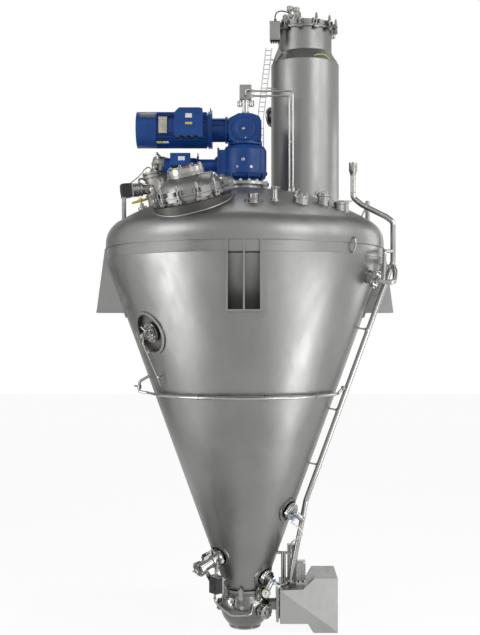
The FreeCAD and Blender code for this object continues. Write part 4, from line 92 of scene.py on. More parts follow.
# Places that more than one visual piece uses, in millimetres, and the azimuth of the heating pipe
PEDESTAL_TOP, CASTING_TOP = (0, 0, 1220), (0, 0, 1601)
BOX_MIDDLE = (288, 246, 2740)
HAND_VALVE = (-936, -250)
LIFTING_POSTS = ((-1142, 1092), (1157, 1058))
PIPE_GAP = 94
HEAT_AZIMUTH = -14

# Lamps: name, place, target, width and height, power
LAMPS = [("left_low", (-4.8, -2.6, -1.7), (0, 0, -0.4), (2.6, 3.2), 135),
         ("right_front", (3.6, -4.6, -1.2), (0, 0, -0.2), (1.8, 3.4), 50),
         ("right_back", (5.0, 2.6, 0.6), (0, 0, 0), (1.6, 4.0), 50),
         ("right_high", (4.4, -5.2, 3.4), (0.3, 0, 1.0), (2.6, 3.0), 112),
         ("left_high", (-5.4, -6.0, 3.6), (0, 0, 0.8), (2.8, 2.4), 30),
         ("left_middle", (-5.2, -3.0, 3.3), (0, 0, 0.8), (2.4, 2.8), 85),
         ("right_middle", (5.7, -2.0, 3.1), (0, 0, 0.8), (2.4, 3.0), 58),
         ("top", (0.5, 2.6, 5.6), (0, 0, 0.5), (5.0, 3.0), 85),
         ("right_floor", (2.8, -1.6, -2.35), (0.3, 0, -1.5), (1.3, 2.6), 55)]
# Grey cards round the object: two opposite corners of the foot, then the height of foot and top
CARDS = [("card_left", (-3.9, 1.2), (-4.9, 6.5), -3.0, 4.5),
         ("card_left_front", (-5.6, -5.5), (-5.0, -9.0), -1.0, 5.0),
         ("card_left_high", (-24.0, 20.0), (-3.0, 20.0), 9.9, 30.0),
         ("card_right_high", (6.0, 20.0), (24.0, 20.0), 9.9, 30.0)]
# Level grey cards: two opposite corners and the height
LEVEL_CARDS = [("card_ceiling", (-7.0, -4.0), (7.0, 10.0), 7.6),
               ("card_foot", (-2.2, -1.7), (-0.5, 1.4), -2.93)]
CARD_TONE = 0.45
FLOOR_TONE, FLOOR_GLOW, FLOOR_REACH = 0.86, 0.93, 30.0
WORLD_TONE, WORLD_STRENGTH = 0.5, 0.9


# Camera

def make_camera():
    data = bpy.data.cameras.new("camera")
    data.sensor_fit = "VERTICAL"
    data.sensor_height = SENSOR
    data.sensor_width = SENSOR
    data.lens = SENSOR * FOCAL_PIXELS / PHOTO_HEIGHT
    data.shift_x = (CENTRE_PIXEL[0] - AXIS_PIXEL[0]) / PHOTO_HEIGHT
    data.shift_y = (AXIS_PIXEL[1] - CENTRE_PIXEL[1]) / PHOTO_HEIGHT
    data.clip_end = 100.0
    camera = bpy.data.objects.new("camera", data)
    camera.location = CAMERA_POS
    camera.rotation_euler = (radians(90), 0, 0)
    bpy.context.scene.collection.objects.link(camera)
    bpy.context.scene.camera = camera


make_camera()


# Materials

def new_material(name):
    material = bpy.data.materials.new(name)
    material.use_nodes = True
    tree = material.node_tree
    return material, tree, tree.nodes["Principled BSDF"]


def add_node(tree, kind, **values):
    node = tree.nodes.new(kind)
    for key, value in values.items():
        setattr(node, key, value)
    return node


def noise(tree, scale, detail=3.0, stretch=None):
    """Noise in object space, stretched along an axis where asked."""
    coordinates = add_node(tree, "ShaderNodeTexCoord")
    texture = add_node(tree, "ShaderNodeTexNoise")
    texture.inputs["Scale"].default_value = scale
    texture.inputs["Detail"].default_value = detail
    vector = coordinates.outputs["Object"]
    if stretch:
        mapping = add_node(tree, "ShaderNodeMapping")
        mapping.inputs["Scale"].default_value = stretch
        tree.links.new(vector, mapping.inputs["Vector"])
        vector = mapping.outputs["Vector"]
    tree.links.new(vector, texture.inputs["Vector"])
    return texture.outputs["Fac"]


def spread(tree, shader, source, low, high):
    """Roughness that follows the middle of a noise over a range."""
    ranged = add_node(tree, "ShaderNodeMapRange")
    limits = {"From Min": 0.35, "From Max": 0.65, "To Min": low, "To Max": high}
    for key, value in limits.items():
        ranged.inputs[key].default_value = value
    tree.links.new(source, ranged.inputs["Value"])
    tree.links.new(ranged.outputs["Result"], shader.inputs["Roughness"])


def tint(tree, shader, source, colour, dark, light):
    """Base colour that drifts with a noise between two shares of a colour."""
    ramp = add_node(tree, "ShaderNodeValToRGB")
    for element, position, share in zip(ramp.color_ramp.elements, (0.36, 0.64), (dark, light)):
        element.position = position
        element.color = (*(min(1.0, c * share) for c in colour), 1)
    tree.links.new(source, ramp.inputs["Fac"])
    tree.links.new(ramp.outputs["Color"], shader.inputs["Base Color"])


def bump(tree, shader, source, strength, distance):
    node = add_node(tree, "ShaderNodeBump")
    node.inputs["Strength"].default_value = strength
    node.inputs["Distance"].default_value = distance
    tree.links.new(source, node.inputs["Height"])
    tree.links.new(node.outputs["Normal"], shader.inputs["Normal"])


def steel(name, colour, rough, grain=420.0, cloud=2.2, relief=0.15, stretch=None):
    """Stainless steel: soft clouding, fine grain and slight change of gloss."""
    material, tree, shader = new_material(name)
    shader.inputs["Metallic"].default_value = 1.0
    tint(tree, shader, noise(tree, cloud, 4.0), colour, 0.93, 1.05)
    streak = noise(tree, cloud * 4, 5.0, stretch or (1, 1, 0.35))
    spread(tree, shader, streak, rough - 0.05, rough + 0.05)
    bump(tree, shader, noise(tree, grain, 2.0, stretch), relief, 0.0006)
    return material


def paint(name, colour, rough, coat=0.0, grain=260.0):
    """Machine paint with fine orange peel and slightly worn tone."""
    material, tree, shader = new_material(name)
    tint(tree, shader, noise(tree, 5.0, 4.0), colour, 0.82, 1.16)
    spread(tree, shader, noise(tree, 14.0, 3.0), rough - 0.05, rough + 0.07)
    shader.inputs["Coat Weight"].default_value = coat
    shader.inputs["Coat Roughness"].default_value = 0.18
    shader.inputs["Specular IOR Level"].default_value = 0.3
    bump(tree, shader, noise(tree, grain, 2.0), 0.12, 0.0006)
    return material


def plastic(name, colour, rough, grain=700.0):
    """Plastic, cloth or glass with a fine grain."""
    material, tree, shader = new_material(name)
    tint(tree, shader, noise(tree, 30.0, 3.0), colour, 0.85, 1.12)
    spread(tree, shader, noise(tree, 60.0, 2.0), rough - 0.04, rough + 0.05)
    bump(tree, shader, noise(tree, grain, 2.0), 0.18, 0.0003)
    return material


SATIN = steel("satin_steel", (0.235, 0.235, 0.230), 0.40)
BAND = steel("ground_band", (0.25, 0.25, 0.247), 0.36, stretch=(1, 1, 8))
BRIGHT = steel("polished_steel", (0.36, 0.358, 0.345), 0.24, cloud=6.0, relief=0.06)
FITTING = steel("fitting_steel", (0.28, 0.276, 0.265), 0.32, cloud=9.0, relief=0.10)
SHEET = steel("folded_sheet", (0.34, 0.34, 0.333), 0.44, stretch=(6, 1, 1))
SATIN_PALE = steel("pale_satin", (0.31, 0.305, 0.285), 0.42)
# Painted shade: near-black steel for the manway neck, which lies in shade under the lid
SHADED = steel("shaded_steel", (0.072, 0.069, 0.063), 0.48)
BALL_STEEL = steel("ball_steel", (0.17, 0.168, 0.16), 0.27, cloud=7.0, relief=0.05)
# Paler steel for the neck weld bead, and painted light on the upper half of the actuator box front
PALE_AND_PAINTED_LIT_SHEET = steel("pale_sheet_painted_lit", (0.42, 0.42, 0.412), 0.44, stretch=(6, 1, 1))
DARK_STEEL = steel("dark_steel", (0.16, 0.155, 0.15), 0.42, cloud=8.0)
BLUE = paint("drive_blue", (0.006, 0.050, 0.215), 0.36)
BOLT_WHITE = paint("bolt_cap", (0.62, 0.62, 0.60), 0.40)
YELLOW = paint("wheel_yellow", (0.60, 0.50, 0.045), 0.38)
BLACK = plastic("black_plastic", (0.010, 0.010, 0.011), 0.55)
WHITE = plastic("white_plastic", (0.68, 0.68, 0.66), 0.38)
CONNECTOR_BLUE = plastic("blue_plastic", (0.05, 0.16, 0.36), 0.38)
WOOL = plastic("mineral_wool", (0.52, 0.46, 0.30), 0.85, 90.0)
FELT = plastic("needle_felt", (0.72, 0.71, 0.66), 0.85, 240.0)
EARTH = plastic("earth_sheath", (0.52, 0.60, 0.05), 0.45)
RED = plastic("red_plastic", (0.45, 0.06, 0.04), 0.42)
RATING = plastic("blank_plate", (0.47, 0.44, 0.33), 0.5)
PANE = plastic("dark_glass", (0.015, 0.018, 0.02), 0.10)
BLUE_BOLT = paint("painted_bolts", (0.015, 0.065, 0.24), 0.30)


def dress(material, *names):
    for name in names:
        node = NODES[name]
        node.data.materials.clear()
        node.data.materials.append(material)


def dress_frame():
    dress(SATIN, *sorted(NODES))
    dress(BAND, "support_frame")
    dress(BLUE, "orbit_gearbox", "screw_gearbox", "screw_motor", "screw_motor_fan_cover",
          "screw_motor_lantern", "orbit_motor")
    dress(BRIGHT, "gas_pipes", "heating_pipe", "ring_pipe", "outlet_clamps", "valve_trim",
          "sampling_valve", "probe_nozzles", "side_nozzle", "head_fittings", "rotary_union",
          "discharge_ball", "cable_tray", "pulse_valves", "sight_glass")
    dress(FITTING, "filter_lid_bolts", "drive_pedestal", "junction_box", "sampling_lever")
    dress(FITTING, *["manway_bolt_%d" % (i + 1) for i in range(10)])
    dress(DARK_STEEL, "screw_motor_rotor", "orbit_motor_rotor")
    dress(SHEET, "actuator_box")
    dress(BALL_STEEL, "discharge_body")
    dress(SATIN_PALE, "inlet_valve")
    dress(WOOL, "insulation")
    dress(FELT, "filter_bags")
    dress(YELLOW, "hand_wheel")
    dress(BLACK, "air_hose")
    dress(EARTH, "earth_wire")


# Cords and pipes

def round_curve(name, points, radius, material, sides, steps):
    """Round bar along a smooth curve through its corners, in metres."""
    curve = bpy.data.curves.new(name, "CURVE")
    curve.dimensions = "3D"
    curve.bevel_depth = radius
    curve.bevel_resolution = sides
    curve.resolution_u = steps
    curve.use_fill_caps = True
    spline = curve.splines.new("NURBS")
    spline.points.add(len(points) - 1)
    for place, point in zip(spline.points, points):
        place.co = (*point, 1.0)
    spline.order_u = 3
    spline.use_endpoint_u = True
    curve.materials.append(material)
    made = bpy.data.objects.new(name, curve)
    bpy.context.scene.collection.objects.link(made)
    return made


def pipe(name, points, radius, material=BRIGHT):
    """Rigid pipe of the vessel, sizes in millimetres."""
    made = round_curve(name, [Vector(point) * MM for point in points], radius * MM, material, 4, 8)
    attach(made, "vessel")


def make_cords():
    hose = round_curve("air_hose_curve", HOSE_POINTS, HOSE_DIAMETER / 2, BLACK, 6, 16)
    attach(hose, "filter_cover")
    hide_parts("air_hose")
    wire = round_curve("earth_wire_curve", WIRE_POINTS, WIRE_DIAMETER / 2, EARTH, 6, 16)
    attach(wire, "vessel")
    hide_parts("earth_wire")


# Points on the vessel, in millimetres

def cone_radius(z):
    return CLAD_RADIUS + (z - SHOULDER_Z) * tan(HALF_ANGLE)


def polar(radius, azimuth, z=0.0):
    angle = radians(azimuth)
    return Vector((radius * cos(angle), radius * sin(angle), z))


def cone_point(azimuth, z, off=0.0):
    return polar(cone_radius(z) + off * cos(HALF_ANGLE), azimuth, z - off * sin(HALF_ANGLE))


def cone_normal(azimuth):
    return polar(cos(HALF_ANGLE), azimuth, -sin(HALF_ANGLE))


def dome_height(x, y):
    """Height of the head's cladding, crown and knuckle."""
    radius = hypot(x, y)
    middle = CLAD_RADIUS - KNUCKLE_RADIUS
    join = CROWN_RADIUS * middle / (CROWN_RADIUS - KNUCKLE_RADIUS)
    if radius <= join:
        return CROWN_Z + sqrt(CROWN_RADIUS ** 2 - radius ** 2)
    reach = min(radius - middle, KNUCKLE_RADIUS)
    return KNUCKLE_Z + sqrt(KNUCKLE_RADIUS ** 2 - reach ** 2)


def dome_point(x, y, off=0.0):
    return Vector((x, y, dome_height(x, y))) + dome_normal(x, y) * off


def dome_normal(x, y):
    return Vector((x, y, dome_height(x, y) - CROWN_Z)).normalized()


def inlet_at(rise):
    return dome_point(*INLET_POS) + INLET_LEAN * rise


# Places and mesh helpers, sizes in millimetres

def stand(pos, axis=(0, 0, 1), side=(1, 0, 0)):
    """Place whose Z runs along an axis and whose X leans towards a side."""
    z = Vector(axis).normalized()
    side = Vector(side)
    x = side - z * side.dot(z)
    if x.length < 1e-6:
        x = z.orthogonal()
    x.normalize()
    place = Matrix((x, z.cross(x), z)).transposed().to_4x4()
    place.translation = Vector(pos) * MM
    return place


ORIGIN = stand((0, 0, 0))


def on_cone(azimuth, z, side=RIGHT):
    """Place on the cone's cladding that faces away from it."""
    return stand(cone_point(azimuth, z), cone_normal(azimuth), side)


def upright(x, y, rise=0.0):
    """Upright place on the head."""
    return stand((x, y, dome_height(x, y) + rise))


def moved(place, x=0.0, y=0.0, z=0.0):
    return place @ Matrix.Translation(Vector((x, y, z)) * MM)


def raised(place, z):
    return moved(place, 0, 0, z)


def turned(place, angle):
    return place @ Matrix.Rotation(radians(angle), 4, "Z")


def tipped(angle, axis="X"):
    return Matrix.Rotation(radians(angle), 4, axis)


@contextmanager
def piece(name, material, body="vessel", slot=None, bevel=0.0):
    """Collects geometry in a bmesh and leaves it as one riding piece."""
    bm = bmesh.new()
    yield bm
    bmesh.ops.recalc_face_normals(bm, faces=bm.faces)
    mesh = bpy.data.meshes.new(name)
    bm.to_mesh(mesh)
    bm.free()
    mesh.materials.append(material)
    mesh.polygons.foreach_set("use_smooth", [True] * len(mesh.polygons))
    mesh.set_sharp_from_angle(angle=radians(SHARP_ANGLE))
    made = bpy.data.objects.new(name, mesh)
    bpy.context.scene.collection.objects.link(made)
    if bevel:
        edge = made.modifiers.new("edge", "BEVEL")
        edge.width = bevel * MM
        edge.segments = 2
        edge.limit_method = "ANGLE"
        edge.angle_limit = radians(BEVEL_ANGLE)
        edge.harden_normals = True
    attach(made, body)


def lathe(bm, place, profile, steps=32, closed=False):
    """Turns radius and height pairs about the axis of a place."""
    rings = []
    for radius, height in profile:
        if radius < 0.01:
            rings.append([bm.verts.new(place @ Vector((0, 0, height * MM)))])
            continue
        ring = []
        for index in range(steps):
            spot = polar(radius * MM, 360.0 * index / steps, height * MM)
            ring.append(bm.verts.new(place @ spot))
        rings.append(ring)
    pairs = list(zip(rings, rings[1:]))
    if closed:
        pairs.append((rings[-1], rings[0]))
    for low, high in pairs:
        for index in range(steps):
            after = (index + 1) % steps
            corners = [low[index % len(low)], low[after % len(low)],
                       high[after % len(high)], high[index % len(high)]]
            corners = list(dict.fromkeys(corners))
            if len(corners) > 2:
                bm.faces.new(corners)


def rod(bm, place, radius, low, high, steps=24, soft=1.0):
    """Round bar with softened ends."""
    lathe(bm, place, [(0, low), (radius - soft, low), (radius, low + soft), (radius, high - soft),
                      (radius - soft, high), (0, high)], steps)


def collar(bm, place, outer, inner, low, high, steps=40, soft=1.0):
    lathe(bm, place, [(inner, low), (outer - soft, low), (outer, low + soft), (outer, high - soft),
                      (outer - soft, high), (inner, high)], steps, closed=True)


def wire_ring(bm, place, radius, bar, steps=48, around=10):
    """Thin torus round the axis of a place."""
    profile = [(radius + bar * cos(2 * pi * k / around), bar * sin(2 * pi * k / around))
               for k in range(around)]
    lathe(bm, place, profile, steps, closed=True)


def six_faces(bm, spots):
    """Block from eight corners, in the order of three nested pairs."""
    corners = [bm.verts.new(spot) for spot in spots]
    for order in ((0, 2, 3, 1), (4, 5, 7, 6), (0, 1, 5, 4), (2, 6, 7, 3), (0, 4, 6, 2), (1, 3, 7, 5)):
        bm.faces.new([corners[k] for k in order])


def slab(bm, place, x, y, z):
    """Box between three pairs of limits."""
    six_faces(bm, [place @ (Vector((a, b, c)) * MM) for c in z for b in y for a in x])


def plate(bm, place, outline, low, high):
    """Flat plate from an outline in the place's XY plane."""
    foot = [bm.verts.new(place @ (Vector((x, y, low)) * MM)) for x, y in outline]
    top = [bm.verts.new(place @ (Vector((x, y, high)) * MM)) for x, y in outline]
    bm.faces.new(foot[::-1])
    bm.faces.new(top)
    count = len(outline)
    for index in range(count):
        after = (index + 1) % count
        bm.faces.new([foot[index], foot[after], top[after], top[index]])


def nut(bm, place, size=12.0, height=10.0, stud=0.0, washer=True):
    """Hexagon head or nut with a washer and the end of its stud."""
    base = 0.0
    if washer:
        collar(bm, place, size * 1.25, 1.0, 0, 2, 20, 0.4)
        base = 2.0
    lathe(bm, place, [(0, base), (size, base), (size, base + height * 0.82), (size * 0.84, base + height),
                      (0, base + height)], 6)
    if stud:
        rod(bm, place, size * 0.5, base + height - 1, base + height + stud, 12, 0.6)


def bolt_head(bm, place, size, height):
    nut(bm, place, size, height, washer=False)


def pin_ends(bm, place, radius, low, high, steps, soft=1.0):
    """Both ends of a pin that lies across a place."""
    for side in (-1, 1):
        rod(bm, place @ tipped(90 * side), radius, low, high, steps, soft)


def nut_ring(bm, place, circle, count, start=0.0, **sizes):
    for index in range(count):
        nut(bm, moved(turned(place, start + 360.0 * index / count), circle), **sizes)


# Drive

def drive_fasteners():
    with piece("pedestal_nuts", BOLT_WHITE) as bm:
        nut_ring(bm, stand(PEDESTAL_TOP), 203, 16, 11.25, size=14, height=18)
    with piece("gearbox_bolts", BLUE_BOLT) as bm:
        for azimuth in range(10, 360, 20):
            if abs(azimuth - 180) > 28:
                bolt_head(bm, stand(polar(208, azimuth, 1312), polar(1, azimuth)), 8, 6)
        nut_ring(bm, stand(CASTING_TOP), 150, 12, 15, size=11, height=11)
        for x, z, circle, count in ((-308, BIG_MOTOR_Z, 158, 8), (-273, SMALL_MOTOR_Z, 72, 6)):
            nut_ring(bm, stand((x, 0, z), LEFT, UP), circle, count, 22.5, size=10, height=9)
        for side in (-1, 1):
            nut_ring(bm, stand((-12, side * 157, 1712), (0, side, 0)), 92, 8, 22.5, size=8, height=7)


def gearbox_dress():
    """Cover plates, ribs, plugs and lifting eyes on the two castings."""
    front = stand((-12, -157, 1712), FRONT)
    cover = [(0, -2), (104, -2), (104, 3), (98, 7), (72, 7), (66, 3), (26, 3), (20, 8), (0, 8)]
    body = [(-150, 1606), (148, 1606), (155, 1640), (155, 1790), (132, 1836), (60, 1862), (-60, 1862),
            (-150, 1815)]
    with piece("gearbox_covers", BLUE, bevel=1.5) as bm:
        for side in (-1, 1):
            lathe(bm, stand((-12, side * 157, 1712), (0, side, 0)), cover, 48)
        collar(bm, stand((-180, 0, BIG_MOTOR_Z), LEFT), 126, 90, -16, 6, 48, 2)
        plate(bm, stand((0, 0, 0), FRONT), body, -128, 128)
        slab(bm, stand((-255, 0, 1411), LEFT, UP), (-132, 132), (-112, 112), (-14, 3))
        for azimuth in (-35, -80, -125, 35, 80, 125):
            slab(bm, stand(PEDESTAL_TOP, polar(1, azimuth), UP), (30, 84), (-5, 5), (150, 212))
        for azimuth in range(7, 360, 45):
            place = stand(CASTING_TOP, polar(1, azimuth), UP)
            plate(bm, place, [(0, -4), (60, -4), (60, 4), (0, 4)], 132, 143)
    with piece("gearbox_plugs", BRIGHT) as bm:
        for x, z, size in ((-15, 1420, 13), (58, 1352, 10), (-70, 1352, 10)):
            y = 1 - sqrt(203 ** 2 - x ** 2)
            nut(bm, stand((x, y, z), (x, y, 0)), size, 7)
        nut(bm, raised(front, 8), 11, 7)
        nut(bm, moved(front, 18, -84, 1), 9, 7)
    with piece("lifting_eyes", BLUE) as bm:
        for x, z in ((-326, BIG_MOTOR_Z + 173), (-444, SMALL_MOTOR_Z + 84)):
            wire_ring(bm, stand((x, 0, z + 16), RIGHT), 15, 5, 28)
            rod(bm, stand((x, 0, z - 6)), 11, 0, 9)
    with piece("flange_caps", BOLT_WHITE) as bm:
        for side in (1, -1):
            rod(bm, stand((-312, -24, BIG_MOTOR_Z + 173 * side), UP * side), 9, -4, 9, 16, 2)


def motor_dress():
    """Terminal box lids, blank plates, fan grilles and glands of both motors."""
    front, small = stand((0, -292, 0), FRONT), stand((0, -134, 0), FRONT)
    outline = [(-645, 1623), (-386, 1623), (-386, 1850), (-412, 1880), (-602, 1880), (-645, 1838)]
    with piece("terminal_lids", BLUE, bevel=3) as bm:
        plate(bm, front, outline, -12, 5)
        plate(bm, small, [(-697, 1372), (-507, 1372), (-507, 1490), (-697, 1490)], -8, 4)
        slab(bm, ORIGIN, (-806, -716), (-174, -110), (1662, 1824))
        slab(bm, ORIGIN, (-716, -645), (-168, -110), (1672, 1800))
    with piece("terminal_screws", BLUE_BOLT) as bm:
        for x, z in ((-632, 1636), (-399, 1636), (-399, 1842), (-424, 1866), (-596, 1866), (-632, 1830),
                     (-515, 1636)):
            bolt_head(bm, moved(front, x, z, 5), 6, 4)
        for x in (-688, -516):
            for z in (1381, 1481):
                bolt_head(bm, moved(small, x, z, 4), 5, 3)
        for angle in (45, 135, 225, 315):
            way = Vector((0, cos(radians(angle)), sin(radians(angle))))
            for x, z, radius in ((-848, BIG_MOTOR_Z, 170), (-704, SMALL_MOTOR_Z, 72)):
                nut(bm, stand(Vector((x, 0, z)) + way * radius, way), 6, 4)
    with piece("blank_plates_light", WHITE) as bm:
        slab(bm, front, (-544, -483), (1786, 1825), (5, 6.5))
        slab(bm, small, (-622, -560), (1420, 1457), (4, 5.5))
    with piece("blank_plate_tall", RATING, bevel=1) as bm:
        slab(bm, ORIGIN, (-800, -722), (-178, -173), (1668, 1818))
    with piece("blank_plate_yellow", YELLOW) as bm:
        slab(bm, front, (-546, -482), (1725, 1745), (5, 6.5))
    for name, material, span, angles in (("fan_cover_strip", FITTING, (-981, -833), (128, 148)),
                                         ("motor_side_strips", WHITE, (-765, -712), (226, 234)),
                                         ("motor_side_strip_yellow", YELLOW, (-822, -768), (226, 234))):
        with piece(name, material) as bm:
            curved_strip(bm, span, BIG_MOTOR_Z, 171.5, angles)
    with piece("fan_grilles", BLUE) as bm:
        for x, z, rings in ((-1015, BIG_MOTOR_Z, range(38, 147, 18)),
                            (-760, SMALL_MOTOR_Z, range(16, 53, 12))):
            place = stand((x, 0, z), LEFT)
            for radius in rings:
                wire_ring(bm, place, radius, 2.2, 48, 8)
            lathe(bm, place, [(0, 0), (rings[0], 0), (rings[0] - 4, 6), (0, 8)], 32)
        for x, radius, bar in ((-1009, 166, 5), (-836, 169, 3.5)):
            wire_ring(bm, stand((x, 0, BIG_MOTOR_Z), RIGHT), radius, bar, 64)
    with piece("cable_glands", BLACK) as bm:
        for x in (-585, -520, -455):
            gland(bm, stand((x, -234, 1627), DOWN), 17, 12, 11, 30, 20, 2)
        for x in (-650, -600):
            gland(bm, stand((x, -104, 1375), DOWN), 12, 9, 8, 22, 16, 2)


def gland(bm, place, size, height, radius, end, steps, soft):
    """Cable gland: a nut and the round cap above it."""
    nut(bm, place, size, height)
    rod(bm, place, radius, height, end, steps, soft)


def curved_strip(bm, span, axis_z, radius, angles, thick=2.0, steps=8):
    """Thin plate bent round a motor's axis, angles from the rear over the top."""
    grid = []
    for layer in (radius, radius + thick):
        rows = []
        for index in range(steps + 1):
            angle = radians(angles[0] + (angles[1] - angles[0]) * index / steps)
            y, z = layer * cos(angle), axis_z + layer * sin(angle)
            rows.append([bm.verts.new(Vector((x, y, z)) * MM) for x in span])
        grid.append(rows)
    low, high = grid
    for index in range(steps):
        bm.faces.new([low[index][0], low[index][1], low[index + 1][1], low[index + 1][0]])
        bm.faces.new([high[index][0], high[index + 1][0], high[index + 1][1], high[index][1]])
        for side in (0, 1):
            bm.faces.new([low[index][side], low[index + 1][side], high[index + 1][side], high[index][side]])
    for index in (0, steps):
        bm.faces.new([low[index][0], high[index][0], high[index][1], low[index][1]])


def union_dress():
    """Valves, tubes and unions round the purge gas box."""
    with piece("union_fittings", BRIGHT) as bm:
        for x in (-17, 27):
            rod(bm, stand((x, -22, 1880)), 9, 0, 130)
            nut(bm, stand((x, -22, 1880)), 13, 12)
        for x in (-50, 60):
            place = stand((x, -8, 1950))
            rod(bm, place, 21, -6, 52, 28, 5)
            for low in (6, 34):
                collar(bm, place, 25, 16, low, low + 7)
        collar(bm, stand((5, 0, 1996)), 38, 24, 0, 10)
        for z in (2043, 2089):
            bolt_head(bm, stand((60, -30, z), RIGHT), 15, 18)
            bolt_head(bm, stand((82, -30, z), RIGHT), 13, 12)
        for x in (418, 451):
            bolt_head(bm, upright(x, -30, 40), 15, 16)
    with piece("union_cover", FITTING, slot="stainless_satin", bevel=6) as bm:
        slab(bm, stand((5, 0, 2077)), (-57, 57), (-57, 57), (-64, 68))
    with piece("union_cover_screws", BRIGHT) as bm:
        for x in (-44, 44):
            for z in (-50, 52):
                bolt_head(bm, moved(stand((5, -57, 2077), FRONT), x, z), 5, 3)
    pipe("union_elbow", [(5, -58, 2036), (5, -84, 2036), (5, -92, 2060), (10, -92, 2086), (34, -84, 2090),
                         (58, -60, 2090), (62, -36, 2089)], 8)


# Manway

def manway_dress():
    """Gasket line, glass, nuts, pins and small fittings of the manway."""
    base = stand(MANWAY_POS, MANWAY_AXIS)
    with piece("manway_gasket", BLACK) as bm:
        collar(bm, base, 306.5, 290, -3, 0.1, 72, 0.3)
    with piece("sight_pane", PANE, body="manway_cover") as bm:
        lathe(bm, base, [(91, 206), (91, 211), (84, 213), (0, 213)], 48)
    with piece("sight_nuts", BRIGHT, body="manway_cover") as bm:
        nut_ring(bm, raised(base, 220), 137, 8, 22.5, size=14, height=13, stud=5)
        for index in range(16):
            rod(bm, moved(turned(base, 22.5 * index), 150), 7, 168, 221, 14)
        for low, high in ((178, 184), (148, 153)):
            collar(bm, base, 161, 150, low, high, 64, 1)
    for name, material, angle in (("sight_tag_yellow", YELLOW, 238), ("sight_tag_red", RED, 282),
                                  ("sight_tag_blue", CONNECTOR_BLUE, 205)):
        with piece(name, material, body="manway_cover", bevel=1) as bm:
            slab(bm, moved(turned(base, angle), 144), (-14, 8), (-16, 16), (221, 236))
    with piece("manway_lugs", FITTING, bevel=1) as bm:
        for angle in range(45, 316, 30):
            pin_ends(bm, moved(turned(base, angle), 325, 0, -38), 13, 20.5, 28, 18)
        pin_ends(bm, moved(base, 357, 0, 30), 20, 76.5, 88, 24, 2)
    with piece("manway_rim_bead", BRIGHT, body="manway_cover") as bm:
        wire_ring(bm, raised(base, 52), 278, 4, 80, 8)
        wire_ring(bm, raised(base, 149), 150, 3.5, 64, 8)
        for angle in (297, 325):
            foot = moved(turned(base, angle), 250, 0, 89)
            wire_ring(bm, foot @ tipped(30, "Y"), 8, 2.5, 20, 8)
    with piece("neck_weld", PALE_AND_PAINTED_LIT_SHEET, slot="stainless_bright") as bm:
        bead_on_dome(bm, base, 347, 5.0, thin=(50, 130, 1.0))
    # Painted shade: a dark sleeve round the manway neck where the lid's overhang shades it
    with piece("neck_painted_shade_sleeve", SHADED) as bm:
        collar(bm, base, 346, 330, -230, -62, 96, 1)


def bead_on_dome(bm, base, radius, bar, steps=96, around=6, thin=(0, 0, 0)):
    """Weld bead where a round neck of a slanted place meets the head, thin between two angles."""
    axis = (base.to_3x3() @ UP).normalized()
    rings = []
    for index in range(steps):
        turn = 360.0 * index / steps
        spot = (turned(base, turn) @ Vector((radius * MM, 0, 0))) / MM
        for _ in range(12):
            spot = spot - axis * ((spot.z - dome_height(spot.x, spot.y)) * 0.8)
        out = spot - base.translation / MM
        out = (out - axis * out.dot(axis)).normalized()
        normal = dome_normal(spot.x, spot.y)
        size = thin[2] if thin[0] < turn < thin[1] else bar
        angles = [2 * pi * step / around for step in range(around)]
        rings.append([bm.verts.new((spot + (out * cos(angle) + normal * sin(angle)) * size) * MM)
                      for angle in angles])
    for low, high in zip(rings, rings[1:] + rings[:1]):
        for step in range(around):
            after = (step + 1) % around
            bm.faces.new([low[step], low[after], high[after], high[step]])


# Dust filter tower

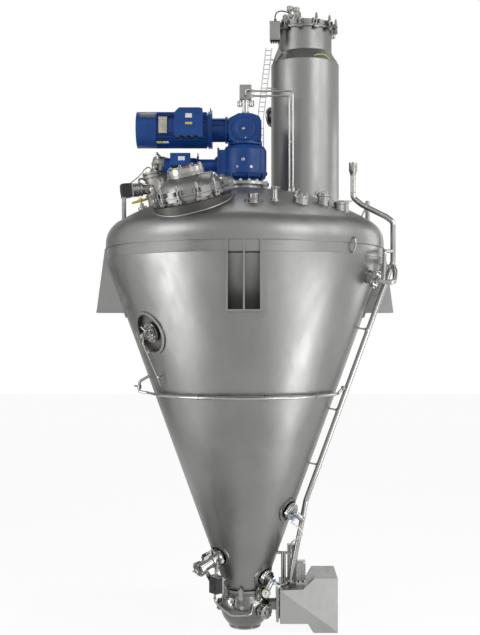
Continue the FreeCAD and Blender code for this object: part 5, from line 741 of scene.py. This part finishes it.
def tower_dress():
    """Seams, hoops and fasteners of the dust filter tower."""
    axis = stand((*TOWER, 0))
    with piece("tower_seams", BAND) as bm:
        bead_on_dome(bm, stand((*TOWER, 1000)), 334, 5)
        for azimuth in (-8, 172):
            place = stand(Vector((*TOWER, 0)) + polar(333, azimuth), polar(1, azimuth), UP)
            slab(bm, place, (1130, 2459), (-14, 14), (-1.5, 2.2))
        wire_ring(bm, raised(axis, 2459), 332.5, 2.5, 96, 8)
        wire_ring(bm, raised(axis, 2567), 267, 3, 96, 8)
    with piece("tower_rivets", FITTING) as bm:
        for azimuth in (-8, 172):
            for index in range(14):
                spot = Vector((*TOWER, 1160 + 98 * index)) + polar(335, azimuth)
                lathe(bm, stand(spot, polar(1, azimuth)), [(6, 0), (5, 2.5), (0, 3.5)], 12)
        for azimuth in range(6, 360, 18):
            spot = Vector((*TOWER, 2490)) + polar(314, azimuth)
            lathe(bm, stand(spot, polar(1, azimuth, 0.6)), [(7, -2), (6, 3.5), (0, 4.5)], 12)
    with piece("filter_gasket", BLACK) as bm:
        collar(bm, axis, 289.5, 275, 2802, 2805.2, 72, 0.3)
    with piece("filter_eye_pins", FITTING) as bm:
        for azimuth in range(18, 360, 30):
            pin_ends(bm, moved(turned(axis, azimuth), 308, 0, 2775), 12, 20.5, 27, 16)
    with piece("filter_lid_trim", FITTING, body="filter_cover") as bm:
        wire_ring(bm, raised(axis, 2850), 262, 3, 80, 8)
        for azimuth in (60, 180, 300):
            place = moved(turned(axis, azimuth), 150, 0, 2870)
            wire_ring(bm, raised(place, 16) @ tipped(90), 15, 5, 24)
            rod(bm, place, 13, -14, 3, 20)
    with piece("pulse_valve_dress", FITTING, body="filter_cover") as bm:
        for index, (x, y) in enumerate(((-150, -92), (-92, -150), (-190, 10))):
            base = moved(axis, x, y)
            top = raised(base, 2999.3 - 30 * index)
            nut_ring(bm, raised(base, 2875.3), 21, 4, 45, size=5, height=5)
            collar(bm, top, 33, 25, -14, -6)
            collar(bm, top, 33, 25, 6, 13)
            nut(bm, raised(top, 20), 12, 1)
            nut(bm, stand((TOWER[0] + x - 26, TOWER[1] + y, 2915.3), LEFT), 11, 12, 8)
            nut(bm, stand((TOWER[0] + x, TOWER[1] + y - 22, 2907.3), FRONT), 10, 12, 6)
    with piece("box_door", FITTING, body="filter_cover", slot="stainless_satin", bevel=2) as bm:
        slab(bm, stand(BOX_MIDDLE), (-47, 47), (-4, 1), (-84, 84))
        slab(bm, stand(BOX_MIDDLE), (-52, 52), (-1, 82), (88, 92))
    with piece("box_screws", BRIGHT, body="filter_cover") as bm:
        for x in (-38, 38):
            for z in (-74, 74):
                bolt_head(bm, stand((288 + x, 242, 2740 + z), FRONT), 5, 3)
    with piece("box_glands", BLACK, body="filter_cover") as bm:
        for x in range(256, 323, 22):
            gland(bm, stand((x, 286, 2650), DOWN), 10.5, 9, 8.5, 26, 14, 3)
        gland(bm, stand((288, 286, 2830)), 11, 10, 8, 24, 16, 3)
    with piece("hose_union", BRIGHT, body="filter_cover") as bm:
        bolt_head(bm, stand((420, 390, 2958), (0.75, 0.66, 0)), 10, 14)
    with piece("earth_lug", BRIGHT) as bm:
        for spot in ((669.9, 186.6, 2484.5), (826.5, 257.2, 2453)):
            away = Vector((spot[0] - TOWER[0], spot[1] - TOWER[1], 120))
            nut(bm, stand(Vector(spot) - away.normalized() * 8, away), 9, 7, 4)


def rod_between(bm, start, end, radius, steps=12):
    start, end = Vector(start), Vector(end)
    rod(bm, stand(start, end - start), radius, 0, (end - start).length, steps)


# Fittings on the head

def head_nozzles():
    """Upright nozzles, covers, levers and lifting posts, in place of the plain tubes."""
    with piece("head_stubs", FITTING, bevel=0.8) as bm:
        low_stub(bm)
        stepped_stub(bm)
        fitted_cover(bm)
        lever_stubs(bm)
        for x, top in LIFTING_POSTS:
            lathe(bm, stand((x, 0, 0)), [(0, 700), (21, 700), (21, top - 2), (19, top), (16, top),
                                         (15.5, top - 6), (0, top - 6)], 32)
    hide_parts("head_fittings")


def low_stub(bm):
    """Short stub with a foot ring on two struts."""
    place, foot = upright(80, -1000), dome_height(80, -1000)
    lathe(bm, place, [(44, -30), (44, 46), (46, 49), (46, 60), (43, 63), (30, 63), (26, 58), (0, 58)], 48)
    wire_ring(bm, raised(place, 8), 76, 3, 56, 8)
    for side in (-1, 1):
        rod_between(bm, (80 + side * 44, -1000, foot + 16), (80 + side * 76, -1000, foot + 8), 4)


def stepped_stub(bm):
    place = upright(259, -930)
    lathe(bm, place, [(36, -14), (36, 6), (26, 8), (23, 20), (23, 92), (33, 95), (33, 101), (30, 103),
                      (33, 105), (33, 111), (28, 114), (0, 114)], 36)
    slab(bm, raised(place, 103), (32, 46), (-8, 8), (-7, 7))


def fitted_cover(bm):
    """Wide nozzle with a bolted cover that carries three fittings."""
    place, foot = upright(487, -850), dome_height(487, -850)
    lathe(bm, place, [(66, -60), (66, 22), (70, 25), (70, 38), (66, 41), (30, 41), (30, 44), (0, 44)], 56)
    nut_ring(bm, raised(place, 41), 54, 8, 22.5, size=9, height=11, stud=5)
    rod(bm, place, 22, 40, 66, 28, 3)
    bolt_head(bm, raised(place, 66), 15, 14)
    lathe(bm, moved(place, -46, 4, 40),
          [(0, 0), (17, 0), (17, 34), (21, 36), (21, 48), (12, 54), (0, 54)], 28)
    lathe(bm, moved(place, 40, -14, 40), [(0, 0), (13, 0), (13, 20), (16, 22), (16, 32), (0, 34)], 24)
    rod_between(bm, (441, -846, foot + 78), (470, -820, foot + 112), 7)


def lever_stubs(bm):
    """Two nozzles whose covers carry a lever each, and the slim stub beside them."""
    place = upright(690, -692)
    lever = turned(place, 8)
    lathe(bm, place, [(50, -90), (50, 58), (58, 61), (58, 80), (54, 83), (0, 83)], 48)
    nut_ring(bm, raised(place, 83), 46, 8, 0, size=8, height=10)
    slab(bm, raised(lever, 98), (-74, 20), (-9, 9), (-5, 6))
    slab(bm, raised(lever, 90), (58, 82), (-7, 7), (-10, 8))
    rod(bm, place, 17, 82, 106, 24, 3)
    rod(bm, moved(place, -62, -8, 84), 14, -8, 24, 20, 3)
    place = upright(839, -640)
    lathe(bm, place, [(47, -80), (47, 34), (55, 37), (55, 54), (51, 57), (0, 57)], 44)
    nut_ring(bm, raised(place, 57), 43, 8, 22.5, size=7, height=9)
    slab(bm, raised(turned(place, 14), 72), (-64, 112), (-11, 11), (-5, 5))
    rod(bm, place, 14, 56, 74, 22, 2)
    lathe(bm, upright(890, -628), [(29, -70), (29, 66), (33, 69), (33, 80), (28, 83), (0, 83)], 32)


def head_dress():
    with piece("head_welds", BAND) as bm:
        for x, y, radius in HEAD_NOZZLES:
            bead_on_dome(bm, stand((x, y, 1000)), radius + 1, 4, 48)
        for x, _ in LIFTING_POSTS:
            wire_ring(bm, stand(dome_point(x, 0), dome_normal(x, 0)), 24, 5, 32, 6)
        wire_ring(bm, stand((0, 0, dome_height(165, 0))), 167, 5, 72, 6)
        wire_ring(bm, stand(dome_point(*INLET_POS), INLET_LEAN), 104, 6, 56, 6)
        wire_ring(bm, stand((0, 0, SHOULDER_Z)), 1300.5, 2.5, 160, 6)
        wire_ring(bm, stand((0, 0, SEAM_Z)), 1299, 2.5, 160, 6)
    with piece("cladding_seams", BAND) as bm:
        for azimuth in (45, 135):
            strip_down_cone(bm, azimuth, 494, -2545, 11, 1.2)


def strip_down_cone(bm, azimuth, top, foot, width, lift):
    """Lap seam of the cladding sheets, a thin strip down the cone."""
    side = polar(1, azimuth + 90)
    six_faces(bm, [(cone_point(azimuth, z, off) + side * across) * MM
                   for z in (top, foot) for across in (-width, width) for off in (-0.8, lift)])


def beside_inlet(*rows):
    """Spots beside the charging nozzle: the rise along it, then the way across."""
    return [inlet_at(rise) + Vector((x, y, 0)) for rise, x, y in rows]


def inlet_ports(bm):
    """Small ports and unions on the charging valve."""
    for x, y, rise in ((-60, -70, 150), (-88, -30, 168), (-30, -96, 160)):
        place = stand(inlet_at(rise) + Vector((x, y, 0)), (x, y, 20))
        rod(bm, place, 15, 0, 46, 20, 3)
        nut(bm, raised(place, 46), 13, 12)
        collar(bm, place, 21, 12, 18, 25)
    place = stand(*beside_inlet((500, 70, -60)), (-0.3, -0.3, 0.9))
    rod(bm, place, 20, -40, 26, 28, 3)
    collar(bm, place, 27, 18, -6, 6)
    rod(bm, place, 11, 26, 46, 20, 3)
    for rise, turn in ((420, 20), (385, -35)):
        spot = inlet_at(rise) + Vector((30, -104, 0))
        rod(bm, stand(spot, (sin(radians(turn)), -1, 0.2)), 17, -20, 26, 24, 3)
        nut(bm, stand(spot + Vector((0, -24, 5)), (0, -1, 0.2)), 14, 14)


def inlet_dress():
    """Bolts, barrel, actuator and tubes of the charging valve, and the hand valve."""
    side, left = inlet_at(200), Vector((-1, -0.25, -0.12)).normalized()
    branch = stand(side, left)
    with piece("inlet_bolts", BRIGHT) as bm:
        nut_ring(bm, stand(inlet_at(348), INLET_LEAN), 104, 12, 15, size=8, height=9, stud=3)
        nut_ring(bm, stand(inlet_at(296), -INLET_LEAN), 108, 12, 15, size=7, height=6)
        nut_ring(bm, raised(branch, 200), 46, 6, 0, size=7, height=8)
        collar(bm, branch, 68, 50, 142, 156)
        collar(bm, branch, 68, 50, 180, 194)
        inlet_ports(bm)
    with piece("inlet_barrel", SATIN_PALE) as bm:
        lathe(bm, stand(inlet_at(150), (0.13, 0.06, 0.98)),
              [(90, 0), (90, 268), (97, 271), (97, 286), (90, 289), (90, 322), (82, 344), (44, 356),
               (0, 358)], 56)
    box = stand(side + left * 236, left, UP)
    with piece("actuator_body", FITTING, bevel=3) as bm:
        lathe(bm, raised(box, -100),
              [(0, -6), (44, -6), (58, 20), (58, 52), (66, 56), (66, 98), (0, 98)], 40)
        slab(bm, box, (-61, 61), (-61, 61), (-3, 12))
    with piece("actuator_face", BLACK, bevel=7) as bm:
        slab(bm, box, (-64, 64), (-64, 64), (10, 108))
        for x in (-58, 58):
            slab(bm, box, (x - 8, x + 8), (-68, 68), (30, 96))
        lathe(bm, raised(box, 108), [(46, -2), (46, 3), (38, 6), (30, 3), (12, 3), (9, 9), (0, 9)], 36)
    normal = (dome_normal(*HAND_VALVE) + UP * 0.6).normalized()
    foot = stand(dome_point(*HAND_VALVE), normal)
    with piece("wheel_valve_dress", BRIGHT) as bm:
        collar(bm, foot, 42, 30, -4, 14)
        nut_ring(bm, raised(foot, 14), 35, 6, 0, size=6, height=6)
        bolt_head(bm, raised(foot, 44), 17, 8)
    with piece("wheel_hub", WHITE, body="wheel", slot="wheel_yellow") as bm:
        lathe(bm, raised(foot, 78), [(0, 13), (22, 13), (24, 18), (20, 24), (0, 25)], 28)
        nut(bm, raised(foot, 103), 9, 7)
    over_box = side + left * 262
    tube = beside_inlet((352, -20, -60), (392, -20, -66), (396, -60, -80), (300, -150, -70))
    pipe("inlet_air_tube", tube + [over_box + UP * 66, over_box + UP * 60], 6)
    loop = beside_inlet((210, -20, -96), (214, -40, -130), (230, -120, -110), (240, -150, -60))
    pipe("inlet_loop_inner", loop + [side + left * 170 + UP * 58], 8)


# Pipes along the cone

def heat_at(reach, z):
    return polar(reach, HEAT_AZIMUTH, z)


def heat_beside(z):
    return heat_at(cone_radius(z) + PIPE_GAP, z)


def pipe_dress():
    """Socket flare, welds, clamps and flange bolts of the long pipes."""
    with piece("heat_socket", BRIGHT) as bm:
        lathe(bm, stand(heat_at(1027, 1300)), [(25, -42), (27, -30), (34, -8), (39.5, 0), (39.5, 78),
                                              (38, 79.5), (34.2, 79.5), (34.2, 60)], 40)
    with piece("pipe_welds", BRIGHT) as bm:
        slope, drop = (0.8, -0.2, -0.45), CLAD_RADIUS + 92
        for reach, z, way in ((1027, 1100, UP), (1072, 1018, (0.7, -0.18, -0.65)), (1150, 970, slope),
                              (1290, 896, slope), (drop, 770, UP), (drop, 500, UP)):
            wire_ring(bm, stand(heat_at(reach, z), way), 25, 2.2, 32, 6)
        for z in (420, -156, -900, -1410):
            spot = heat_beside(z)
            way = heat_beside(z - 100) - spot
            across = way.normalized().orthogonal()
            collar(bm, stand(spot, way), 30, 24, -13, 13, 32, 1)
            nut(bm, stand(spot + across * 34, across), 6, 5)
        for azimuth in (-150, -117, -78, -45):
            spot = polar(cone_radius(-740) + 42, azimuth, -740)
            collar(bm, stand(spot, polar(1, azimuth + 90)), 17.5, 12, -11, 11, 24, 1)
            collar(bm, on_cone(azimuth, -718), 17, 7, -1, 3, 20, 0.6)
    steam_dress()
    with piece("ring_pipe_valves", FITTING) as bm:
        for spot, end in (((-986, -103, -690), (-1030, -125, -678)), ((905, -256, -690), (945, -282, -682))):
            collar(bm, stand(spot), 20, 12, -18, 18, 28, 2)
            rod_between(bm, spot, end, 7)
    with piece("flange_bolts_foot", FITTING) as bm:
        top, end = heat_beside(-1740), heat_at(cone_radius(-1740) - 56, -2500)
        nut_ring(bm, raised(stand(end, top - end), 14), 36, 4, 45, size=6, height=6)


def steam_dress():
    """Bolts, elbow and flange plate of the steam nozzle, and the hooked pipe beside it."""
    azimuth, z = NOZZLES["steam"]
    base, normal = on_cone(azimuth, z), cone_normal(azimuth)
    with piece("steam_flange_bolts", FITTING) as bm:
        nut_ring(bm, raised(base, 84), 68, 8, 22.5, size=8, height=9, stud=4)
        nut_ring(bm, stand(cone_point(azimuth, z, 66), -normal), 70, 8, 22.5, size=7, height=6)
        collar(bm, base, 82, 57, 50, 64, 48, 1.5)
        wire_ring(bm, raised(base, 86), 20, 4, 28, 6)
    pipe("hook_pipe", [(938, -907, 640), (942, -921, 636), (946, -930, 610), (948, -934, 560),
                       (934, -926, 520), (922, -912, 512)], 8)
    pipe("steam_elbow", [cone_point(azimuth, z, 84), cone_point(azimuth, z, 118), (1300, -640, 262),
                         (1334, -600, 290), (1346, -500, 372), (1352, -402, 400), (1352, -352, 420)], 24)
    with piece("steam_flange", FITTING) as bm:
        place = stand(heat_at(CLAD_RADIUS + PIPE_GAP, 424))
        collar(bm, place, 27.5, 22, -12, 12, 40, 1.5)
        slab(bm, place, (-58, -20), (-26, 26), (-7, 7))
        collar(bm, base, 40, 20, 84, 100, 36, 2)
        rod_between(bm, (1072, -250, dome_height(1072, -250) - 4), (1110, -250, 960), 8)


# Nozzles on the cone

def nozzle_dress():
    """Inner rings, bolts and connectors of the nozzles in the cone."""
    azimuth, z = NOZZLES["side"]
    base = on_cone(azimuth, z, UP)
    with piece("side_nozzle_dress", BRIGHT) as bm:
        nut_ring(bm, raised(base, 4), 70, 8, 0, size=9, height=12, stud=6)
        collar(bm, base, 90, 60, -16, -8, 48, 2)
        rod(bm, base, 38, 4, 14, 36, 2)
        collar(bm, base, 31, 22, 58, 66)
        nut(bm, raised(base, 84), 20, 14)
        port = Vector((30, -66, 46))
        for off, end_off, way, radius in ((66, 66, port, 9), (30, 30, (64, -52, -8), 12),
                                          (20, 28, (-58, 20, 66), 8)):
            end = cone_point(azimuth, z, end_off) + Vector(way)
            rod_between(bm, cone_point(azimuth, z, off), end, radius)
        nut(bm, stand(cone_point(azimuth, z, 66) + port, port), 13, 14)
        for level, off in ((-330, 60), (-560, 41)):
            spot = cone_point(azimuth - 1, level, off)
            collar(bm, stand(spot), 12, 6, -8, 8, 20)
            rod_between(bm, cone_point(azimuth - 1, level, -2), spot, 6)
    with piece("side_pocket_floor", DARK_STEEL) as bm:
        collar(bm, base, 175, 66, -44, -40, 64, 0.5)
        collar(bm, base, 176, 172, -41, -1, 64, 0.3)
    with piece("probe_rings", BRIGHT) as bm:
        for name, radius, pocket in (("upper", 58, 96), ("lower", 50, 84)):
            place = on_cone(*NOZZLES[name], UP)
            for low, high in ((20, 38), (42, 57)):
                collar(bm, place, radius + 22, radius - 2, low, high, 48, 3)
            collar(bm, place, pocket + 1, pocket - 14, -4, 2, 56, 1.5)
            for side in (-1, 1):
                slab(bm, moved(place, 0, side * (radius + 26), 39), (-10, 10), (-10, 10), (-14, 14))
            lathe(bm, place, [(radius - 8, 57), (radius - 10, 62), (34, 62), (30, 58), (0, 58)], 40)
            nut(bm, raised(place, 62), 22, 16)
    with piece("probe_pockets", BLACK) as bm:
        for name, radius, pocket in (("upper", 59, 95), ("lower", 51, 83), ("sample", 45, 91)):
            collar(bm, on_cone(*NOZZLES[name]), pocket, radius, -38, -14, 48, 1)
    for name, arm, plug, cap in (("upper", (0.70, -0.12, -0.70), (-40, -38, -24), (-34, -20, -66)),
                                 ("lower", (-0.50, -0.35, -0.79), (22, -34, 14), (58, -30, -34))):
        out = cone_point(*NOZZLES[name], 100)
        with piece("probe_head_" + name, FITTING, bevel=1) as bm:
            place = stand(out, arm)
            collar(bm, place, 30, 22, 10, 22)
            lathe(bm, place, [(26.5, 60), (29, 63), (29, 84), (26, 87), (0, 87)], 32)
        with piece("probe_plug_" + name, CONNECTOR_BLUE, bevel=1) as bm:
            rod_between(bm, out, out + Vector(plug), 9)
            bolt_head(bm, stand(out + Vector(plug), plug), 14, 18)
        with piece("probe_cap_" + name, WHITE, bevel=1) as bm:
            rod_between(bm, out + Vector(arm).normalized() * 8, out + Vector(cap), 11)
            rod(bm, stand(out + Vector(cap), cap), 17, -16, 20, 24, 3)


def sample_at(off, side=0.0):
    azimuth, z = NOZZLES["sample"]
    return cone_point(azimuth, z, off) + polar(side, azimuth + 90)


def sampling_dress():
    """Flange bolts, fittings, grip and terminal box of the sampling valve."""
    azimuth, z = NOZZLES["sample"]
    axis = cone_normal(azimuth)
    base = on_cone(azimuth, z, UP)
    with piece("sampling_fittings", BRIGHT) as bm:
        nut_ring(bm, raised(base, 48), 59, 8, 22.5, size=6, height=9, stud=3)
        nut_ring(bm, raised(base, 270), 58, 8, 22.5, size=7, height=8, stud=3)
        nut_ring(bm, stand(sample_at(228), -axis, UP), 59, 8, 22.5, size=6, height=7)
        for off in (140, 160, 180):
            collar(bm, base, 55, 50, off - 4, off + 4, 40, 1)
        slab(bm, moved(base, 66, 0, 150), (-18, 16), (-20, 20), (-52, 40))
        rod_between(bm, sample_at(120) + UP * 44, sample_at(196) + UP * 56, 9)
        port = sample_at(60, 50) + polar(46, azimuth + 90, -6)
        rod_between(bm, sample_at(60, 50), port, 17)
        nut(bm, stand(port, polar(1, azimuth + 90)), 21, 14)
        drop = stand(sample_at(70, 40))
        rod(bm, drop, 14, -112, 0, 12)
        collar(bm, drop, 24, 13, -56, -44)
        collar(bm, drop, 22, 13, -90, -78)
        rod(bm, base, 22, 290, 308, 28, 3)
    with piece("sampling_grip", BLACK, body="lever") as bm:
        start = sample_at(60) + polar(sin(HALF_ANGLE), azimuth, cos(HALF_ANGLE)) * 92
        rod(bm, stand(start, axis), 13, 86, 126, 20, 4)
    box = stand(cone_point(azimuth, z - 225, 128), polar(1, azimuth), UP)
    with piece("terminal_case", BLACK, bevel=8) as bm:
        slab(bm, box, (-73, 73), (-53, 53), (-30, 49))
    with piece("terminal_case_lid", BLACK, bevel=4) as bm:
        lathe(bm, raised(box, 49), [(44, -2), (44, 5), (36, 8), (26, 5), (0, 5)], 32)
    with piece("terminal_bracket", SATIN, bevel=2) as bm:
        plate(bm, moved(box, 0, 58) @ tipped(90),
              [(-30, -66), (86, -66), (86, 20), (150, 66), (96, 82), (30, 40), (-30, 30)], -3, 3)
        slab(bm, box, (74, 80), (-60, 60), (-50, 40))


# Discharge valve and actuator

def discharge_dress():
    """Rings, clamps, ports and small pipes of the discharge valve."""
    with piece("discharge_rings", BRIGHT) as bm:
        for sizes in ((204, 190, -2640, -2632, 80, 2), (204, 150, -2562, -2556, 80, 2),
                      (226, 205, -2752, -2738, 96, 4), (150, 122, -2945, -2932, 72, 4)):
            collar(bm, ORIGIN, *sizes)
        wire_ring(bm, raised(ORIGIN, -2562), 140, 6, 72, 8)
        place = stand((-258, 0, -2745), LEFT)
        nut_ring(bm, place, 40, 6, 0, size=7, height=7)
        rod(bm, place, 26, 0, 8, 28)
    with piece("joint_shadow", BLACK) as bm:
        collar(bm, ORIGIN, 200, 150, -2612, -2600, 80, 0.5)
    with piece("clamp_shoes", BRIGHT, bevel=3) as bm:
        for azimuth in range(35, 395, 45):
            place = stand(polar(206, azimuth, -2607), polar(1, azimuth), UP)
            slab(bm, place, (-52, 46), (-19, 19), (-6, 13))
            slab(bm, place, (28, 50), (-24, 24), (-10, 20))
    with piece("clamp_nuts", BRIGHT) as bm:
        for azimuth in range(35, 395, 45):
            nut(bm, stand(polar(221, azimuth, -2564)), 14, 15, 9)
            nut(bm, stand(polar(221, azimuth, -2650), DOWN), 13, 9)
    with piece("side_port", BRIGHT, bevel=1) as bm:
        ball_ports(bm)
    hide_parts("valve_trim")
    pipe("purge_line", [(-276, -245, -2500), (-276, -245, -2560), (-276, -245, -2640), (-270, -250, -2660),
                        (-236, -272, -2690), (-150, -300, -2750), (-128, -304, -2764), (-90, -306, -2768),
                        (20, -300, -2766), (52, -292, -2762), (68, -270, -2740), (72, -230, -2700)], 9.5)
    with piece("purge_unions", FITTING) as bm:
        for spot, way in (((-276, -245, -2630), UP), ((-90, -306, -2768), RIGHT),
                          ((20, -300, -2766), RIGHT)):
            bolt_head(bm, stand(spot, way), 14, 16)
    disc = (196, -236, -2584)
    place = stand(disc, (0.25, -1, 0.15))
    with piece("probe_disc", BRIGHT, bevel=1) as bm:
        lathe(bm, place, [(0, -20), (30, -20), (42, -12), (42, 4), (37, 8), (30, 8), (27, 3), (14, 3),
                          (11, 9), (0, 9)], 36)
        bolt_head(bm, raised(place, 9), 9, 6)
    with piece("probe_disc_mark", EARTH) as bm:
        for angle in range(100, 180, 10):
            slab(bm, moved(turned(place, angle), 38), (-5, 5), (-4, 4), (6, 10))
    with piece("probe_disc_stem", FITTING) as bm:
        rod_between(bm, disc, (118, -150, -2600), 14)
        rod_between(bm, disc, (196, -180, -2650), 9)


def ball_ports(bm):
    """Bolted side port, the port on the left and four small bosses on the ball."""
    out = Vector((0.67, -0.74, -0.06)).normalized()
    port = stand(BALL + out * 212, out)
    lathe(bm, port, [(44, -30), (44, 22), (66, 24), (66, 38), (62, 40), (62, 46), (68, 48), (68, 60),
                     (46, 62), (46, 74), (64, 76), (64, 90), (60, 93), (38, 93), (36, 88), (0, 88)], 56)
    nut_ring(bm, raised(port, 60), 57, 8, 22.5, size=7, height=9, stud=6)
    nut_ring(bm, raised(port, 93), 50, 8, 0, size=8, height=9, stud=4)
    rod(bm, port, 22, 88, 104, 32, 3)
    out = Vector((-0.52, -0.78, 0.30)).normalized()
    port = stand(BALL + out * 226, out)
    rod(bm, port, 24, -6, 34, 28, 3)
    collar(bm, port, 32, 22, 10, 20)
    nut(bm, raised(port, 34), 18, 14)
    for azimuth, rise, size in ((-120, 45, 14), (-96, 29, 18), (-70, 51, 13), (-52, 85, 16)):
        out = polar(sqrt(232 ** 2 - rise ** 2), azimuth, rise)
        place = stand(BALL + out, out)
        rod(bm, place, size, -6, 22, 24, 3)
        nut(bm, raised(place, 22), size * 0.9, 12)


def actuator_dress():
    """Folded front of the actuator box with its upper half painted lighter, painted light on the lit side of
    the fold, its seams and the blocks above it.
    """
    front = stand((0, -242, 0), FRONT)
    outline = [(325, -2863), (581, -2863), (631, -2946), (856, -2946), (856, -2446), (640, -2446),
               (581, -2546), (325, -2554)]
    spots = [(x, y, 0.5) for x, y in outline] + [(440, -2640, 8), (790, -2890, 8)]
    low_faces = ((7, 0, 8), (0, 1, 9, 8), (1, 2, 9), (2, 3, 9))
    high_faces = ((3, 4, 9), (4, 5, 8, 9), (5, 6, 8), (6, 7, 8))
    # The upper half of the box front takes a lighter copy of the box's steel: painted light on the lit side
    # of the fold
    for name, material, faces in (("box_front_low", SHEET, low_faces),
                                  ("box_front_painted_lit", PALE_AND_PAINTED_LIT_SHEET, high_faces)):
        with piece(name, material) as bm:
            corners = {k: bm.verts.new(front @ (Vector(spots[k]) * MM)) for k in sorted({*sum(faces, ())})}
            for face in faces:
                bm.faces.new([corners[k] for k in face])
    with piece("box_seams", BAND, bevel=0.8) as bm:
        slab(bm, stand((856, 0, 0), RIGHT, (0, 1, 0)), (-236, 236), (-2490, -2478), (-1, -0.2))
        slab(bm, stand((0, 0, -2446)), (646, 850), (-236, 236), (-0.8, -0.2))
        for y in (-225, 0, 225):
            for z in (-2520, -2700, -2880):
                lathe(bm, stand((856, y, z), RIGHT), [(7, -2), (6, -0.4), (0, -0.1)], 12)
    with piece("instrument_caps", BRIGHT, bevel=1.5) as bm:
        for z in range(-2500, -2369, 26):
            rod(bm, stand((490, -50, z), FRONT), 9, -4, 10, 20, 2)
            rod(bm, stand((540, -50, z), FRONT), 7, -4, 8, 20, 2)
        slab(bm, ORIGIN, (484, 566), (-54, 12), (-2342, -2330))
        slab(bm, ORIGIN, (396, 484), (-53, 12), (-2182, -2174))
    with piece("instrument_ports", BLACK) as bm:
        for x in (500, 545):
            rod(bm, stand((x, -50, -2522), FRONT), 10, -4, 7, 20, 2)
    start = cone_point(-32, -1810, 104) + Vector((-30, -30, -80))
    pipe("probe_conduit_upper", [start, (560, -420, -1990), (470, -300, -2070), (430, -120, -2140),
                                 (432, -40, -2200), (432, -40, -2300)], 7, WHITE)
    pipe("probe_conduit_lower", [(300, -270, -2480), (330, -250, -2520), (380, -160, -2530),
                                 (420, -80, -2525), (432, -44, -2500)], 8, BLACK)
    with piece("conduit_band", BRIGHT) as bm:
        slab(bm, ORIGIN, (330, 420), (-56, -50), (-2262, -2252))
        for x in (350, 372):
            rod(bm, stand((x, -58, -2540)), 11, 0, 300, 20, 2)


# Studio

def ray_mask(tree):
    """One for camera, glossy and transmission rays."""
    path = add_node(tree, "ShaderNodeLightPath")
    first = add_node(tree, "ShaderNodeMath", operation="MAXIMUM")
    second = add_node(tree, "ShaderNodeMath", operation="MAXIMUM")
    tree.links.new(path.outputs["Is Camera Ray"], first.inputs[0])
    tree.links.new(path.outputs["Is Glossy Ray"], first.inputs[1])
    tree.links.new(first.outputs[0], second.inputs[0])
    tree.links.new(path.outputs["Is Transmission Ray"], second.inputs[1])
    return second.outputs[0]


def make_world():
    world = bpy.data.worlds.new("studio")
    bpy.context.scene.world = world
    world.use_nodes = True
    tree = world.node_tree
    background = tree.nodes["Background"]
    output = tree.nodes["World Output"]
    background.inputs["Color"].default_value = (*[WORLD_TONE] * 3, 1)
    background.inputs["Strength"].default_value = WORLD_STRENGTH
    white = add_node(tree, "ShaderNodeBackground")
    white.inputs["Color"].default_value = (1, 1, 1, 1)
    white.inputs["Strength"].default_value = 1.0
    mix_into(tree, ray_mask(tree), background, white, output)


def mix_into(tree, share, first, second, output):
    mix = add_node(tree, "ShaderNodeMixShader")
    tree.links.new(share, mix.inputs[0])
    tree.links.new(first.outputs[0], mix.inputs[1])
    tree.links.new(second.outputs[0], mix.inputs[2])
    tree.links.new(mix.outputs[0], output.inputs["Surface"])


def flat_piece(name, corners, material):
    """One flat face of the studio, kept out of the part."""
    mesh = bpy.data.meshes.new(name)
    mesh.from_pydata(corners, [], [(0, 1, 2, 3)])
    mesh.materials.append(material)
    made = bpy.data.objects.new(name, mesh)
    bpy.context.scene.collection.objects.link(made)
    return made


def matt(name, tone, rough):
    material, tree, shader = new_material(name)
    shader.inputs["Base Color"].default_value = (tone, tone, tone, 1)
    shader.inputs["Roughness"].default_value = rough
    return material, tree, shader


def level_corners(left, front, right, back, z):
    return [(left, front, z), (right, front, z), (right, back, z), (left, back, z)]


def make_floor():
    """Pale floor: nearly white to the camera, darker where the object shades it."""
    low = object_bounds()[0][2]
    material, tree, shader = matt("pale_floor", FLOOR_TONE, 0.9)
    glow = add_node(tree, "ShaderNodeEmission")
    glow.inputs["Color"].default_value = (1, 1, 1, 1)
    share = add_node(tree, "ShaderNodeMath", operation="MULTIPLY")
    share.inputs[1].default_value = FLOOR_GLOW
    tree.links.new(ray_mask(tree), share.inputs[0])
    mix_into(tree, share.outputs[0], shader, glow, tree.nodes["Material Output"])
    flat_piece("floor", level_corners(-FLOOR_REACH, -FLOOR_REACH, FLOOR_REACH, FLOOR_REACH, low), material)


def make_cards():
    """Grey cards that the metal reflects, hidden from the camera."""
    material = matt("grey_card", CARD_TONE, 0.95)[0]
    sheets = [(name, [(*start, low), (*end, low), (*end, high), (*start, high)])
              for name, start, end, low, high in CARDS]
    sheets += [(name, level_corners(*near, *far, z)) for name, near, far, z in LEVEL_CARDS]
    for name, corners in sheets:
        card = flat_piece(name, corners, material)
        card.visible_camera = False
        card.visible_shadow = False


def area_light(name, place, target, size, power):
    data = bpy.data.lights.new(name, "AREA")
    data.shape = "RECTANGLE"
    data.size, data.size_y = size
    data.energy = power
    light = bpy.data.objects.new(name, data)
    light.location = place
    direction = Vector(target) - Vector(place)
    light.rotation_euler = direction.to_track_quat("-Z", "Y").to_euler()
    bpy.context.scene.collection.objects.link(light)


def make_lights():
    for lamp in LAMPS:
        area_light(*lamp)


# Main

dress_frame()
make_cords()
drive_fasteners()
gearbox_dress()
motor_dress()
union_dress()
manway_dress()
tower_dress()
head_nozzles()
head_dress()
inlet_dress()
pipe_dress()
nozzle_dress()
sampling_dress()
discharge_dress()
actuator_dress()
make_world()
make_floor()
make_cards()
make_lights()

scene = bpy.context.scene
scene.view_settings.view_transform = "Standard"
